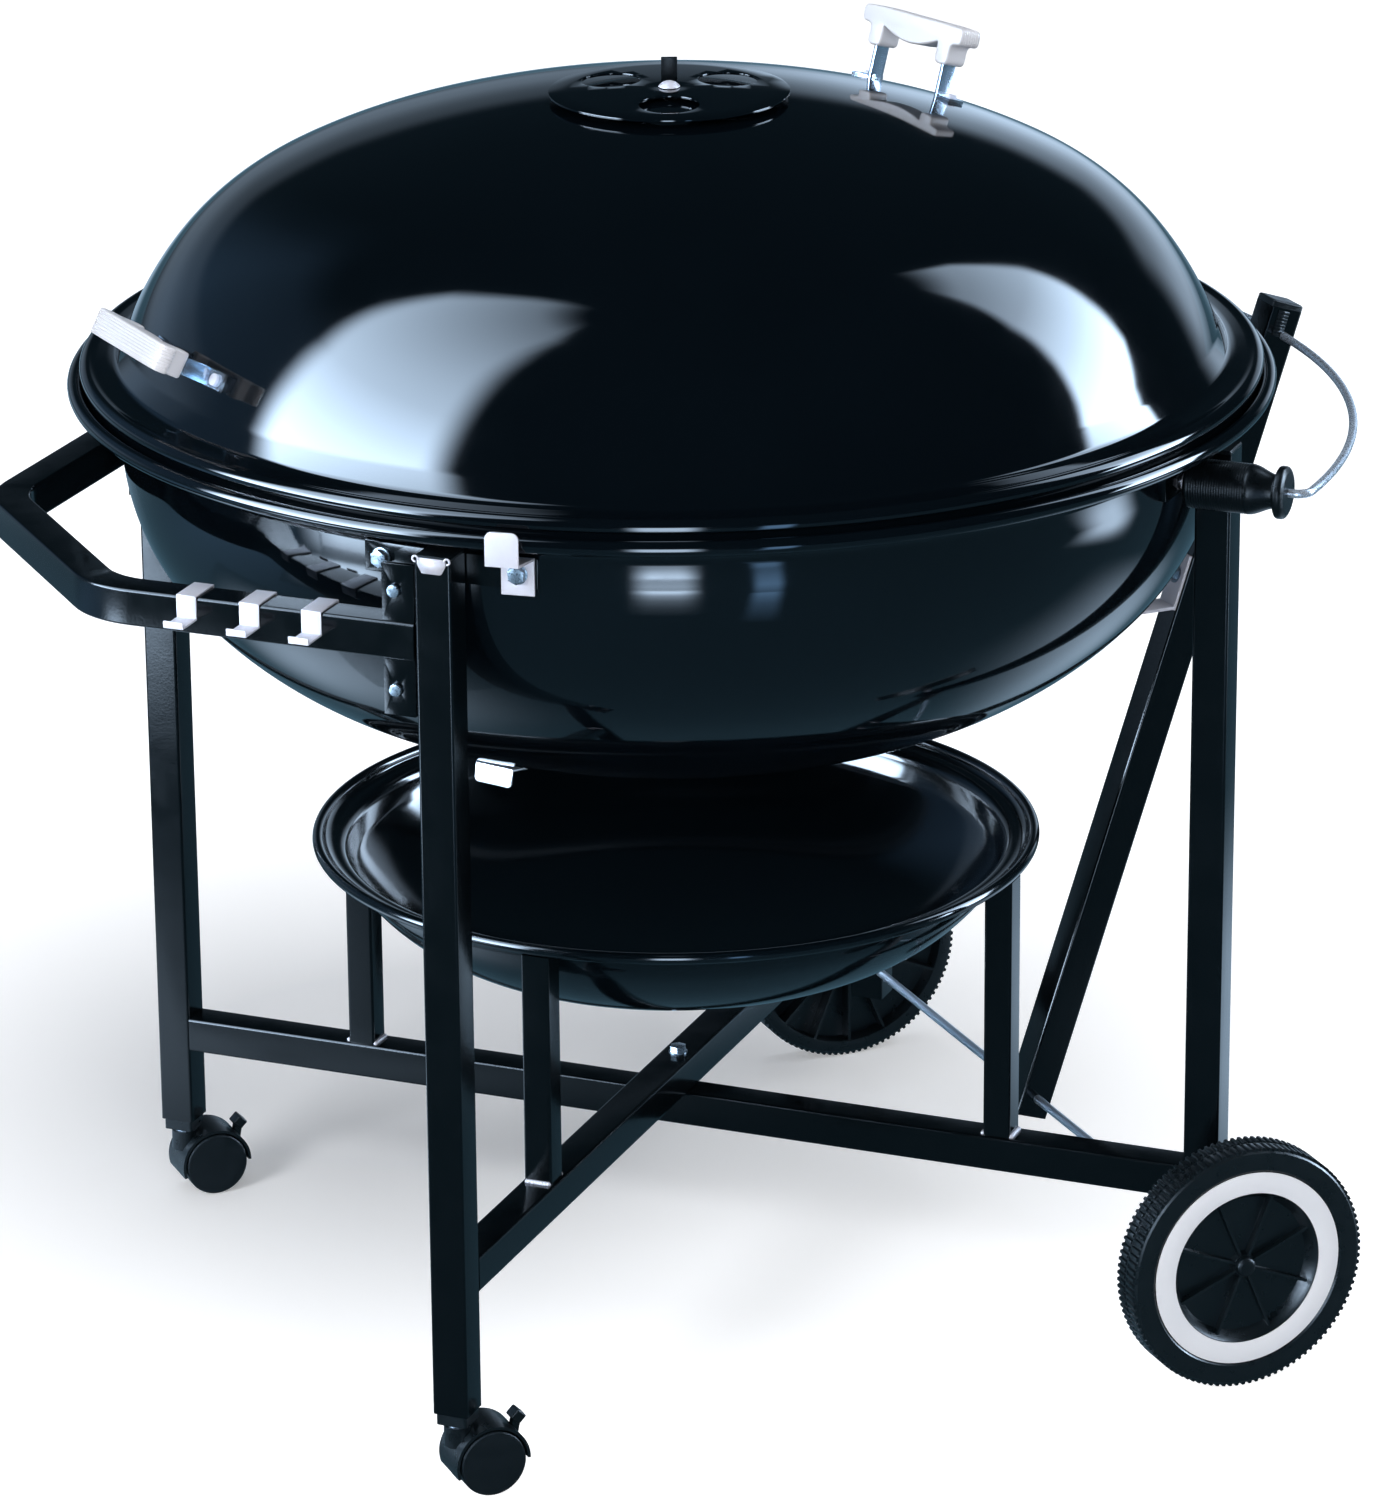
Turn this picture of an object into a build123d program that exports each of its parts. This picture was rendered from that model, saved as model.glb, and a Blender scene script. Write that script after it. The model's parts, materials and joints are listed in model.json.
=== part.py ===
from build123d import *
import os
from math import acos, atan2, cos, degrees, hypot, radians, sin, sqrt

# Kettle charcoal grill. Millimetres, +Z up, +X from the push handle towards the wheels.
# Radii and X, Y places are measured from the kettle's upright axis, heights from the floor.

# Where the kettle's axis stands along X, so that the whole grill is centred on the origin
KETTLE_X = -14.32

# Kettle bowl
RIM_R = 525.0
RIM_Z = 852.0
SHEET = 2.0
BOWL_WALL_R = 480.0
BOWL_WALL_Z = RIM_Z - 40.4
BOWL_ARCS = ((210.7, 42.5), (349.6, 33.9))
BOWL_SHOULDER_Z = RIM_Z - 17.0
BOWL_FLANGE_R = 490.0
BOWL_FLANGE_Z = RIM_Z - 8.0
BEAD = 6.5
BEAD_Z = RIM_Z + 4.0
BEAD_JOINT = (190.0, 215.0)

# Lid
DOME_FOOT_R = 473.0
DOME_FOOT_Z = RIM_Z + 44.0
DOME_FOOT_LEAN = 22.4
DOME_ARCS = ((288.6, 15.95), (230.6, 24.75), (489.8, 9.79))
LID_TOP_Z = RIM_Z + 248.87
LID_RING_R = 490.0
LID_RING_Z = RIM_Z + 30.0
LID_SKIRT_R = 514.0
LID_SKIRT_LOW_Z = RIM_Z + 15.5
LID_SKIRT_HIGH_Z = RIM_Z + 21.5
LID_LIP_R = 505.5
LID_LIP_Z = RIM_Z + 1.2

# Lid damper
DAMPER_R = 104.0
DAMPER_SHEET = 1.8
DAMPER_EDGE_Z = LID_TOP_Z - 0.4
DAMPER_CROWN_Z = LID_TOP_Z + 3.0
DAMPER_HOLE_R = 26.0
DAMPER_HOLE_RING_R = 58.0
DAMPER_HOLE_AZIMUTH = -113.0
DAMPER_HOLE_COUNT = 3
DAMPER_TURN = 60.0
DAMPER_RIVET_R = 4.0
DAMPER_RIVET_HEAD_R = 9.4
DAMPER_RIVET_HEAD = 5.0
TAB_R = 23.0
TAB_WIDTH = 14.0
TAB_THICKNESS = 4.0
TAB_HEIGHT = 22.0

# Lid handles: (radius of the foot on the dome, azimuth)
LID_HANDLES = {"high": (268.0, 15.3), "low": (459.0, 185.0)}
STRAP_X = 44.0
STRAP_WIDTH = 15.0
STRAP_SHEET = 3.0
STRAP_FOOT = 22.0
STRAP_SCREW_X = 57.0
STRAP_LOW = -1.0
STRAP_RISE = 44.0
LID_GRIP_LENGTH = 134.0
LID_GRIP_WIDTH = 23.0
LID_GRIP_LOW = 47.0
LID_GRIP_HIGH = 63.5
LID_GRIP_ROUND = 6.0
LID_GRIP_BELLY = 38.0
LID_STUB_IN = 37.0
LID_STUB_OUT = 54.0
LID_STUB_LOW = 28.0

# Square-tube frame; the legs stand on the two diagonals
TUBE = 31.75
TUBE_WALL = 1.6
TUBE_CORNER = 2.5
LEG_R = 499.5
LEG_TOP_Z = 835.0
CASTER_LEG_FOOT_Z = 76.0
WHEEL_LEG_FOOT_Z = 84.0
LEG_AZIMUTHS = {"front_left": -135.0, "back_left": 135.0, "front_right": -45.0, "back_right": 45.0}
LOWER_CROSS_Z = 148.0
UPPER_CROSS_Z = LOWER_CROSS_Z + TUBE
LEG_CAP = 3.0

# Straps and bolts that hold the legs to the bowl
BRACKET_LOW_Z = 807.0
BRACKET_HIGH_Z = 833.0
BRACKET_SHEET = 3.5
BRACKET_HALF_ANGLE = 9.1
BRACKET_BOLT_ANGLE = 7.2
BRACKET_BOLT_Z = 820.0
BOLT_R = 4.0
BOLT_FLATS = 13.0
BOLT_HEAD = 5.3
NUT = 6.0
WASHER_R = 8.5
WASHER = 1.2

# Push handle
HANDLE_R = 495.5
HANDLE_Z = 761.0
HANDLE_START = 19.5
HANDLE_END_X = -568.0
HANDLE_BEND_R = 75.0
FLANGE_LOW_Z = 696.0
FLANGE_HIGH_Z = 826.0
FLANGE_R = 506.0
FLANGE_SHEET = 3.0
FLANGE_EDGE = 48.0
FLANGE_SCREW_Z = (718.0, 803.0)
FLANGE_SCREW_SIDE = 37.0
SCREW_R = 2.5
SCREW_HEAD_R = 5.2
SCREW_HEAD = 2.6

# Tool hooks on the push handle's front arm, measured along the arm from the leg
HOOK_PLACES = (110.0, 166.0, 223.0)
HOOK_WIDTH = 18.0
HOOK_SHEET = 1.6
HOOK_DROP = 19.5
HOOK_REACH = 27.0
HOOK_LIP = 6.0

# Ash pan and its posts
PAN_R = 324.0
PAN_WALL_R = 295.5
PAN_ARCS = ((48.0, 38.0), (180.0, 35.0))
PAN_FLANGE_Z = 421.5
PAN_BEAD = 5.0
ASH_POST = 25.4
ASH_POST_R = 309.0
ASH_POST_TOP_Z = PAN_FLANGE_Z - 0.3

# Wheels and axle
WHEEL_R = 111.5
WHEEL_WIDTH = 33.0
WHEEL_INNER_Y = 404.0
LUG_HEIGHT = 2.2
LUG_COUNT = 108
LUG_MARGIN = 1.5
LUG_GAP = 4.0
SEAM_WIDTH = 1.2
SEAM_HEIGHT = 1.2
TYRE_IN_R = 97.0
HUB_R = 12.0
HUB_INNER_Y = 387.1
HUB_OUTER = 26.0
WEB_LOW = 17.0
WEB_HIGH = 20.0
FACE_HIGH = 31.5
RECESS_R = 69.4
RECESS_FLOOR_R = 62.0
SPOKE_COUNT = 8
SPOKE_WIDTH = 2.4
SPOKE_HIGH = 27.0
BACK_RIB_COUNT = 16
BACK_RIB_WIDTH = 2.6
BACK_RIB_LOW = 2.0
RING_IN_R = 70.0
RING_OUT_R = 89.5
RING_HIGH = 32.6
AXLE_R = 4.0
RUNNING_GAP = 0.05
HUB_CAP_R = 9.0
HUB_CAP_HIGH = 33.0
SPACER_R = 8.0

# Casters, each about its own stem
CASTER_WHEEL_R = 29.5
CASTER_TRAIL = 24.0
CASTER_WHEEL_IN = 6.5
CASTER_WHEEL_OUT = 22.0
CASTER_WHEEL_ROUND = 2.5
CASTER_AXLE_R = 3.0
CASTER_AXLE_HALF = 17.0
HOOD_R = 33.5
HOOD_IN_R = 31.0
HOOD_HALF = 21.5
HOOD_WEB = 6.0
HOOD_WEB_LOW = -16.0
HOOD_BACK_ANGLE = 17.0
HOOD_BOSS_R = 12.0
HOOD_BOSS_LOW_Z = 44.0
HOOD_TOP_Z = 62.5
STEM_R = 5.0
STEM_TOP_Z = 108.0
STEM_LOW_Z = 46.0
STEM_COLLAR_R = 9.0
SOCKET_FLANGE = 10.5
SOCKET_INSET = 2.0
SOCKET_HIGH_Z = 112.0

# Brake levers, measured from the caster's wheel axle
BRAKE_PIVOT = (25.0, 12.0)
BRAKE_HEAD = (28.9, 31.6)
BRAKE_PIN_R = 1.6
BRAKE_BARREL_R = 3.6
BRAKE_HALF = 3.4
BRAKE_STALK = 7.0
BRAKE_HEAD_SIZE = (11.0, 13.0, 10.0)
BRAKE_HEAD_TILT = 45.0
BRAKE_SLOT_HALF = 3.9
BRAKE_SLOT_LOW = (19.5, 6.0)
BRAKE_SLOT_HIGH = (40.0, 34.0)

# Lid holder: a leaning post, a rod hoop round the wheel side, and two barrel grips
POST_LEAN_RUN = 1.0 / 3.0
POST_BELOW_AXLE = 18.0
POST_TOP_Z = 840.0
POST_CAP = 6.0
HOOP_R = 592.0
HOOP_Z = 816.0
HOOP_ROD_R = 3.75
HOOP_BEND_R = 12.0
GRIP_SIDE = 43.0
GRIP_START = 487.0
GRIP_BARREL_END = 541.0
GRIP_NECK_END = 566.0
GRIP_END = 575.0
GRIP_R = 21.5
GRIP_NECK_R = 14.0
GRIP_DISC_R = 22.5
GRIP_STUD_R = 4.0
GRIP_STUD_IN = 30.0
ROD_IN_GRIP = 30.0
REST_Z = 563.0
REST_REACH = 62.0
REST_WIDTH = 28.0
REST_UPSTAND = 52.0
REST_SHEET = 3.0

# Lid catch outside the rim, held by the bolt of the front left bracket that is nearer the wheels
CATCH_AZIMUTH = LEG_AZIMUTHS["front_left"] + BRACKET_BOLT_ANGLE
CATCH_WIDTH = 28.0
CATCH_SHEET = 2.0
CATCH_LOW_Z = 802.0
CATCH_STEP_Z = 834.0
CATCH_TOP_Z = 869.0
CATCH_OUT_R = 529.0
CATCH_ROUND = 6.0

# Grates
COOKING_GRATE_R = 468.0
COOKING_GRATE_Z = 838.0
COOKING_ROD_R = 2.8
COOKING_PITCH = 19.0
CHARCOAL_GRATE_R = 385.0
CHARCOAL_GRATE_Z = 647.0
CHARCOAL_ROD_R = 3.2
CHARCOAL_PITCH = 25.0
GRATE_RING_R = 4.0
GRATE_SUPPORT_AZIMUTHS = (0.0, 90.0, 180.0, 270.0)
GRATE_SUPPORT = 20.0

# Bowl dampers
VENT_R = 198.0
VENT_AZIMUTHS = (-147.0, -27.0, 93.0)
VENT_PLATE_R = 54.0
VENT_PLATE = 1.6
VENT_GAP = 0.5
VENT_HOLE_R = 13.5
VENT_HOLE_RING_R = 31.0
VENT_TAB_WIDTH = 38.0
VENT_TAB_LENGTH = 24.0
VENT_TAB_DROP = 16.0
VENT_TAB_ROUND = 4.0
VENT_RIVET_R = 3.0
VENT_RIVET_HEAD_R = 7.0
VENT_RIVET_HEAD = 2.5

LEG_X = LEG_R / sqrt(2)
AXLE_X = LEG_X
AXLE_Z = WHEEL_R


def arc_chain(r, z, lean, arcs, up):
    """Tangent arcs of a round sheet profile, from its side to its pole on the axis.

    lean is the angle of the sheet's normal from level at the start, arcs are (radius, turn) pairs,
    and up is 1 for a dome or -1 for a bowl. A last arc about the axis closes the pole.
    """
    angle = radians(lean)
    chain = []
    for radius, turn in arcs:
        centre = (r - radius * cos(angle), z - up * radius * sin(angle))
        chain.append((centre, radius, angle, angle + radians(turn)))
        angle += radians(turn)
        r = centre[0] + radius * cos(angle)
        z = centre[1] + up * radius * sin(angle)
    crown = r / cos(angle)
    chain.append(((0.0, z - up * crown * sin(angle)), crown, angle, radians(90)))
    return chain


def chain_point(arc, up, angle, inset):
    (centre_r, centre_z), radius, _, _ = arc
    return (centre_r + (radius - inset) * cos(angle), 0, centre_z + up * (radius - inset) * sin(angle))


def chain_edges(chain, up, inset):
    """The chain's arcs on the XZ plane, moved towards their centres by inset."""
    edges = []
    for arc in chain:
        first, last = arc[2], arc[3]
        places = (first, (first + last) / 2, last)
        edges.append(ThreePointArc(*[chain_point(arc, up, angle, inset) for angle in places]))
    return edges


def chain_place(chain, up, r):
    """Height of the profile at a radius, and the angle of its normal from level."""
    for arc in chain:
        (centre_r, centre_z), radius, first, last = arc
        angle = acos(max(-1.0, min(1.0, (r - centre_r) / radius)))
        if first - 1e-6 <= angle <= last + 1e-6:
            return centre_z + up * radius * sin(angle), angle
    raise ValueError("radius is off the profile")


def upright(points):
    """Put (r, z) points on the XZ plane."""
    return [(r, 0, z) for r, z in points]


def lathe(edges):
    """Turn a closed outline on the XZ plane about the upright axis."""
    return revolve(Face(Wire(edges)), Axis.Z, 360)


def lathe_points(points):
    """Turn a closed outline of straight lines about the upright axis."""
    return lathe(Polyline(*upright(points), close=True).edges())


def polar(azimuth, radius=0.0, side=0.0, z=0.0):
    """Frame with +X radial at an azimuth, moved out, sideways and up."""
    return Rot(0, 0, azimuth) * Pos(radius, side, z)


def block(low, high):
    """Box between two corners."""
    size = [b - a for a, b in zip(low, high)]
    return Pos(*low) * Box(*size, align=(Align.MIN,) * 3)


def disc(radius, low, high):
    """Upright cylinder between two heights."""
    return Pos(0, 0, low) * Cylinder(radius, high - low, align=(Align.CENTER, Align.CENTER, Align.MIN))


def tube_section(size):
    outer = RectangleRounded(size, size, TUBE_CORNER)
    inner = RectangleRounded(size - 2 * TUBE_WALL, size - 2 * TUBE_WALL, TUBE_CORNER - TUBE_WALL)
    return outer - inner


def tube(size, length):
    """Square tube along +Z from the origin."""
    return extrude(tube_section(size), length)


def hexagon(flats, length):
    return extrude(RegularPolygon(flats / 2, 6, major_radius=False), length)


def group(solids):
    """Separate solids that share one node."""
    return Compound(children=list(solids))


BOWL_CHAIN = arc_chain(BOWL_WALL_R, BOWL_WALL_Z, 0.0, BOWL_ARCS, -1)
DOME_CHAIN = arc_chain(DOME_FOOT_R, DOME_FOOT_Z, DOME_FOOT_LEAN, DOME_ARCS, 1)
PAN_CHAIN = arc_chain(PAN_WALL_R, PAN_FLANGE_Z, 0.0, PAN_ARCS, -1)


def pole_line(chain, up):
    """Sheet's thickness on the axis."""
    outside, inside = [chain_point(chain[-1], up, radians(90), inset) for inset in (0.0, SHEET)]
    return Line(outside, inside)


def bowl_cavity():
    """The space inside the bowl, up to its rim."""
    pole = chain_point(BOWL_CHAIN[-1], -1, radians(90), SHEET)
    top = (BOWL_WALL_R - SHEET, 0, RIM_Z)
    edges = [
        Line(top, (BOWL_WALL_R - SHEET, 0, BOWL_WALL_Z)),
        *chain_edges(BOWL_CHAIN, -1, SHEET),
        Line((0, 0, pole[2]), (0, 0, RIM_Z)),
        Line((0, 0, RIM_Z), top),
    ]
    return lathe(edges)


def vent_frame(azimuth):
    """Frame on the bowl's underside at a vent: +Z points out of the bowl, +X away from the axis."""
    z, angle = chain_place(BOWL_CHAIN, -1, VENT_R)
    return polar(azimuth, VENT_R, 0, z) * Rot(0, degrees(angle) - 90, 0) * Rot(180, 0, 0)


def bolt_frames():
    """Radial frames of the hex bolts through the leg brackets, with the thickness outside the wall.

    The grip studs stand in for the bolts on the wheel side of the right-hand brackets.
    """
    frames = []
    for name, azimuth in LEG_AZIMUTHS.items():
        for side in (-BRACKET_BOLT_ANGLE, BRACKET_BOLT_ANGLE):
            if (name, side) in (("front_right", -BRACKET_BOLT_ANGLE), ("back_right", BRACKET_BOLT_ANGLE)):
                continue
            stack = BRACKET_SHEET
            if azimuth + side == CATCH_AZIMUTH:
                stack += CATCH_SHEET + 0.1
            frames.append((polar(azimuth + side, BOWL_WALL_R, 0, BRACKET_BOLT_Z), stack))
    return frames


def grip_frame(name):
    """Frame of a side grip: +X along the grip, away from the kettle."""
    side = -GRIP_SIDE if name == "front" else GRIP_SIDE
    azimuth = LEG_AZIMUTHS[name + "_right"]
    return polar(azimuth, 0, side, HOOP_Z)


def rolled_bead():
    """Arc of the bowl's rolled edge, from the sheet's upper side round the outside to its lower side."""
    upper, lower = BEAD_JOINT
    places = []
    for turn in (upper, (upper + lower) / 2 - 180, lower):
        angle = radians(turn)
        places.append((RIM_R - BEAD + BEAD * cos(angle), BEAD_Z + BEAD * sin(angle)))
    return ThreePointArc(*upright(places))


def make_bowl():
    inner_r = BOWL_WALL_R - SHEET
    bead = rolled_bead()
    inside = [
        (inner_r, BOWL_WALL_Z),
        (inner_r, BOWL_SHOULDER_Z),
        (BOWL_FLANGE_R - 1.0, BOWL_FLANGE_Z + 2.4),
    ]
    outside = [
        (BOWL_FLANGE_R, BOWL_FLANGE_Z),
        (BOWL_WALL_R, BOWL_SHOULDER_Z),
        (BOWL_WALL_R, BOWL_WALL_Z),
    ]
    edges = chain_edges(BOWL_CHAIN, -1, 0.0) + [pole_line(BOWL_CHAIN, -1)]
    edges += chain_edges(BOWL_CHAIN, -1, SHEET) + Polyline(*upright(inside), bead @ 0).edges()
    edges += [bead] + Polyline(bead @ 1, *upright(outside)).edges()
    bowl = lathe(edges)
    holes = []
    for azimuth in VENT_AZIMUTHS:
        frame = vent_frame(azimuth)
        holes.append(frame * Cylinder(VENT_RIVET_R, 20))
        for i in range(3):
            holes.append(frame * polar(60 + 120 * i, VENT_HOLE_RING_R) * Cylinder(VENT_HOLE_R, 40))
    for frame, _ in bolt_frames():
        holes.append(frame * Rot(0, 90, 0) * Cylinder(BOLT_R, 20))
    for name in ("front", "back"):
        holes.append(grip_frame(name) * Pos(BOWL_WALL_R, 0, 0) * Rot(0, 90, 0) * Cylinder(GRIP_STUD_R, 40))
    return bowl - holes


def make_lid():
    inner_foot = chain_point(DOME_CHAIN[0], 1, DOME_CHAIN[0][2], SHEET)
    lip_in = LID_LIP_R - SHEET
    outline = [
        (inner_foot[0], inner_foot[2]),
        (LID_RING_R - 1.0, LID_RING_Z - SHEET),
        (lip_in, LID_RING_Z - 5.0),
        (lip_in, LID_LIP_Z),
        (LID_LIP_R, LID_LIP_Z),
        (LID_LIP_R, LID_SKIRT_LOW_Z),
        (LID_SKIRT_R, LID_SKIRT_LOW_Z),
        (LID_SKIRT_R, LID_SKIRT_HIGH_Z),
        (LID_SKIRT_R - 8.0, LID_SKIRT_HIGH_Z + 5.0),
        (LID_RING_R, LID_RING_Z),
        (DOME_FOOT_R, DOME_FOOT_Z),
    ]
    edges = chain_edges(DOME_CHAIN, 1, 0.0) + [pole_line(DOME_CHAIN, 1)]
    edges += chain_edges(DOME_CHAIN, 1, SHEET) + Polyline(*upright(outline)).edges()
    holes = [Pos(0, 0, LID_TOP_Z) * Cylinder(DAMPER_RIVET_R, 40)]
    for i in range(DAMPER_HOLE_COUNT):
        azimuth = DAMPER_HOLE_AZIMUTH + DAMPER_TURN + i * 360 / DAMPER_HOLE_COUNT
        holes.append(polar(azimuth, DAMPER_HOLE_RING_R, 0, LID_TOP_Z) * Cylinder(DAMPER_HOLE_R - 1.0, 60))
    for radius, azimuth in LID_HANDLES.values():
        for side in (-1, 1):
            holes.append(strap_foot_frame(radius, azimuth, side) * Cylinder(SCREW_R, 30))
    return lathe(edges) - holes


def make_lid_damper():
    sheet = DAMPER_SHEET
    edges = [
        ThreePointArc(
            (-DAMPER_R, 0, DAMPER_EDGE_Z), (0, 0, DAMPER_CROWN_Z), (DAMPER_R, 0, DAMPER_EDGE_Z)
        ).trim(0.5, 1.0),
        Line((DAMPER_R, 0, DAMPER_EDGE_Z), (DAMPER_R, 0, DAMPER_EDGE_Z + sheet)),
        ThreePointArc(
            (-DAMPER_R, 0, DAMPER_EDGE_Z + sheet),
            (0, 0, DAMPER_CROWN_Z + sheet),
            (DAMPER_R, 0, DAMPER_EDGE_Z + sheet),
        ).trim(0.5, 1.0),
        Line((0, 0, DAMPER_CROWN_Z), (0, 0, DAMPER_CROWN_Z + sheet)),
    ]
    damper = lathe(edges)
    damper -= Pos(0, 0, DAMPER_CROWN_Z) * Cylinder(DAMPER_RIVET_R + RUNNING_GAP, 20)
    for i in range(DAMPER_HOLE_COUNT):
        azimuth = DAMPER_HOLE_AZIMUTH + i * 360 / DAMPER_HOLE_COUNT
        damper -= polar(azimuth, DAMPER_HOLE_RING_R, 0, DAMPER_CROWN_Z) * Cylinder(DAMPER_HOLE_R, 40)
    return damper


def make_lid_damper_tab(damper):
    """Upright finger tab that stands on the damper disc, on the side away from its front hole."""
    frame = polar(DAMPER_HOLE_AZIMUTH + 180, TAB_R, 0, DAMPER_CROWN_Z)
    tab = frame * block(
        (-TAB_THICKNESS / 2, -TAB_WIDTH / 2, 0), (TAB_THICKNESS / 2, TAB_WIDTH / 2, TAB_HEIGHT)
    )
    return (tab - damper).solids().sort_by(Axis.Z)[-1]


def make_lid_damper_rivet():
    top = DAMPER_CROWN_Z + DAMPER_SHEET + 0.3
    foot = LID_TOP_Z - SHEET - 0.2
    rivet = disc(DAMPER_RIVET_R, foot - 2.0, top + 1.0) + disc(DAMPER_RIVET_HEAD_R, foot - 4.0, foot)
    dome_r = (DAMPER_RIVET_HEAD_R**2 + DAMPER_RIVET_HEAD**2) / (2 * DAMPER_RIVET_HEAD)
    head = Pos(0, 0, top + DAMPER_RIVET_HEAD - dome_r) * Sphere(dome_r)
    return rivet + (head & disc(DAMPER_RIVET_HEAD_R, top, top + 2 * DAMPER_RIVET_HEAD))


def dome_frame(radius, azimuth):
    """Frame on the dome: +Z along the dome's normal, +X level."""
    z, angle = chain_place(DOME_CHAIN, 1, radius)
    return polar(azimuth, radius, 0, z) * Rot(0, 90 - degrees(angle), 0) * Rot(0, 0, 90)


def strap_foot_frame(radius, azimuth, side):
    """Frame on the dome under one foot of a lid handle, its +X pointing to the handle's outside."""
    angle = chain_place(DOME_CHAIN, 1, radius)[1]
    drop = STRAP_SCREW_X**2 * cos(angle) / (2 * radius)
    place = (dome_frame(radius, azimuth) * Pos(side * STRAP_SCREW_X, 0, -drop)).position
    foot = dome_frame(hypot(place.X, place.Y), degrees(atan2(place.Y, place.X)))
    return foot * Rot(0, 0, 0 if side > 0 else 180)


def make_lid_strap(radius, azimuth, side):
    """Bent strap: a foot on the dome and an upright that runs up into the grip."""
    half = STRAP_WIDTH / 2
    foot = block((STRAP_X - STRAP_SCREW_X, -half, 0.1), (STRAP_FOOT / 2, half, 0.1 + STRAP_SHEET))
    upright_part = block((STRAP_X, -half, STRAP_LOW), (STRAP_X + STRAP_SHEET, half, STRAP_RISE))
    strap = strap_foot_frame(radius, azimuth, side) * (foot - Cylinder(SCREW_R, 40))
    return strap + dome_frame(radius, azimuth) * Rot(0, 0, 0 if side > 0 else 180) * upright_part


def make_lid_screw(radius, azimuth, side):
    """Screw through a strap's foot and the dome, with its nut inside the lid."""
    low = -SHEET - 0.2
    screw = disc(SCREW_HEAD_R, 0.1 + STRAP_SHEET, 0.1 + STRAP_SHEET + SCREW_HEAD)
    screw += disc(SCREW_R, low - 3.5, 0.1 + STRAP_SHEET)
    screw += Pos(0, 0, low - 4.5) * hexagon(8.0, 4.5)
    return strap_foot_frame(radius, azimuth, side) * screw


def make_lid_grip(frame):
    """Moulded grip: a bar with a belly between the two stubs that take the straps."""
    half = LID_GRIP_LENGTH / 2
    ends = [
        (LID_STUB_IN, LID_GRIP_LOW),
        (LID_STUB_IN, LID_STUB_LOW),
        (LID_STUB_OUT, LID_STUB_LOW),
        (LID_STUB_OUT, LID_GRIP_LOW),
        (half - 4.0, LID_GRIP_LOW),
        (half, LID_GRIP_LOW + 4.0),
        (half, LID_GRIP_HIGH - LID_GRIP_ROUND),
        (half - LID_GRIP_ROUND, LID_GRIP_HIGH),
    ]
    outline = ends + [(-x, z) for x, z in reversed(ends)]
    belly = ThreePointArc(*upright([outline[-1], (0, LID_GRIP_BELLY), outline[0]]))
    face = Face(Wire(Polyline(*upright(outline)).edges() + [belly]))
    grip = extrude(face, LID_GRIP_WIDTH / 2, dir=(0, 1, 0), both=True)
    top_edges = grip.edges().filter_by(Axis.X).group_by(Axis.Z)[-1]
    grip = fillet(top_edges, LID_GRIP_ROUND)
    for side in (0, 180):
        slot = block(
            (STRAP_X, -STRAP_WIDTH / 2, 0), (STRAP_X + STRAP_SHEET, STRAP_WIDTH / 2, STRAP_RISE)
        )
        grip -= Rot(0, 0, side) * slot
    return frame * grip


def make_leg(name):
    foot = CASTER_LEG_FOOT_Z if name.endswith("left") else WHEEL_LEG_FOOT_Z
    leg = polar(LEG_AZIMUTHS[name], LEG_R, 0, foot) * tube(TUBE, LEG_TOP_Z - foot)
    if name.endswith("right"):
        leg -= axle_hole(AXLE_R)
    return leg


def axle_hole(radius):
    return Pos(AXLE_X, 0, AXLE_Z) * Rot(90, 0, 0) * Cylinder(radius, 4 * LEG_X)


def make_leg_cap(azimuth):
    inside = TUBE - 2 * TUBE_WALL - 0.2
    plug = extrude(RectangleRounded(inside, inside, 0.8), -12.0)
    top = extrude(RectangleRounded(TUBE, TUBE, TUBE_CORNER), LEG_CAP)
    top = chamfer(top.faces().sort_by(Axis.Z)[-1].edges(), 1.2)
    return polar(azimuth, LEG_R, 0, LEG_TOP_Z) * (plug + top)


def make_leg_brackets():
    """Straps that follow the bowl's wall behind the legs."""
    ring = disc(BOWL_WALL_R + BRACKET_SHEET, BRACKET_LOW_Z, BRACKET_HIGH_Z)
    ring -= disc(BOWL_WALL_R + 0.05, BRACKET_LOW_Z, BRACKET_HIGH_Z)
    half = (BOWL_WALL_R + BRACKET_SHEET) * sin(radians(BRACKET_HALF_ANGLE))
    blank = ring & block((BOWL_WALL_R / 2, -half, 0), (RIM_R, half, RIM_Z))
    holes = [frame * Rot(0, 90, 0) * Cylinder(BOLT_R, 40) for frame, _ in bolt_frames()]
    for name in ("front", "back"):
        holes.append(grip_frame(name) * Pos(BOWL_WALL_R, 0, 0) * Rot(0, 90, 0) * Cylinder(GRIP_STUD_R, 40))
    return group(Rot(0, 0, azimuth) * blank - holes for azimuth in LEG_AZIMUTHS.values())


def make_hex_bolt(grip):
    """Hex bolt, washer and nut along +Z; the clamped stack lies between -SHEET and grip."""
    bolt = disc(BOLT_R, -SHEET - NUT, grip + WASHER) + disc(WASHER_R, grip, grip + WASHER)
    bolt += Pos(0, 0, grip + WASHER) * hexagon(BOLT_FLATS, BOLT_HEAD)
    return bolt + Pos(0, 0, -SHEET - NUT - 0.4) * hexagon(BOLT_FLATS, NUT)


def make_bolts():
    bolts = [frame * Rot(0, 90, 0) * make_hex_bolt(grip) for frame, grip in bolt_frames()]
    bolts.append(Pos(0, 0, UPPER_CROSS_Z + TUBE) * disc(WASHER_R, 0, WASHER))
    bolts[-1] += Pos(0, 0, UPPER_CROSS_Z + TUBE + WASHER) * hexagon(BOLT_FLATS, BOLT_HEAD)
    bolts.append(post_frame() * rest_bolt_place() * Rot(0, -90, 0) * rest_bolt())
    return group(bolts)


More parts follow.
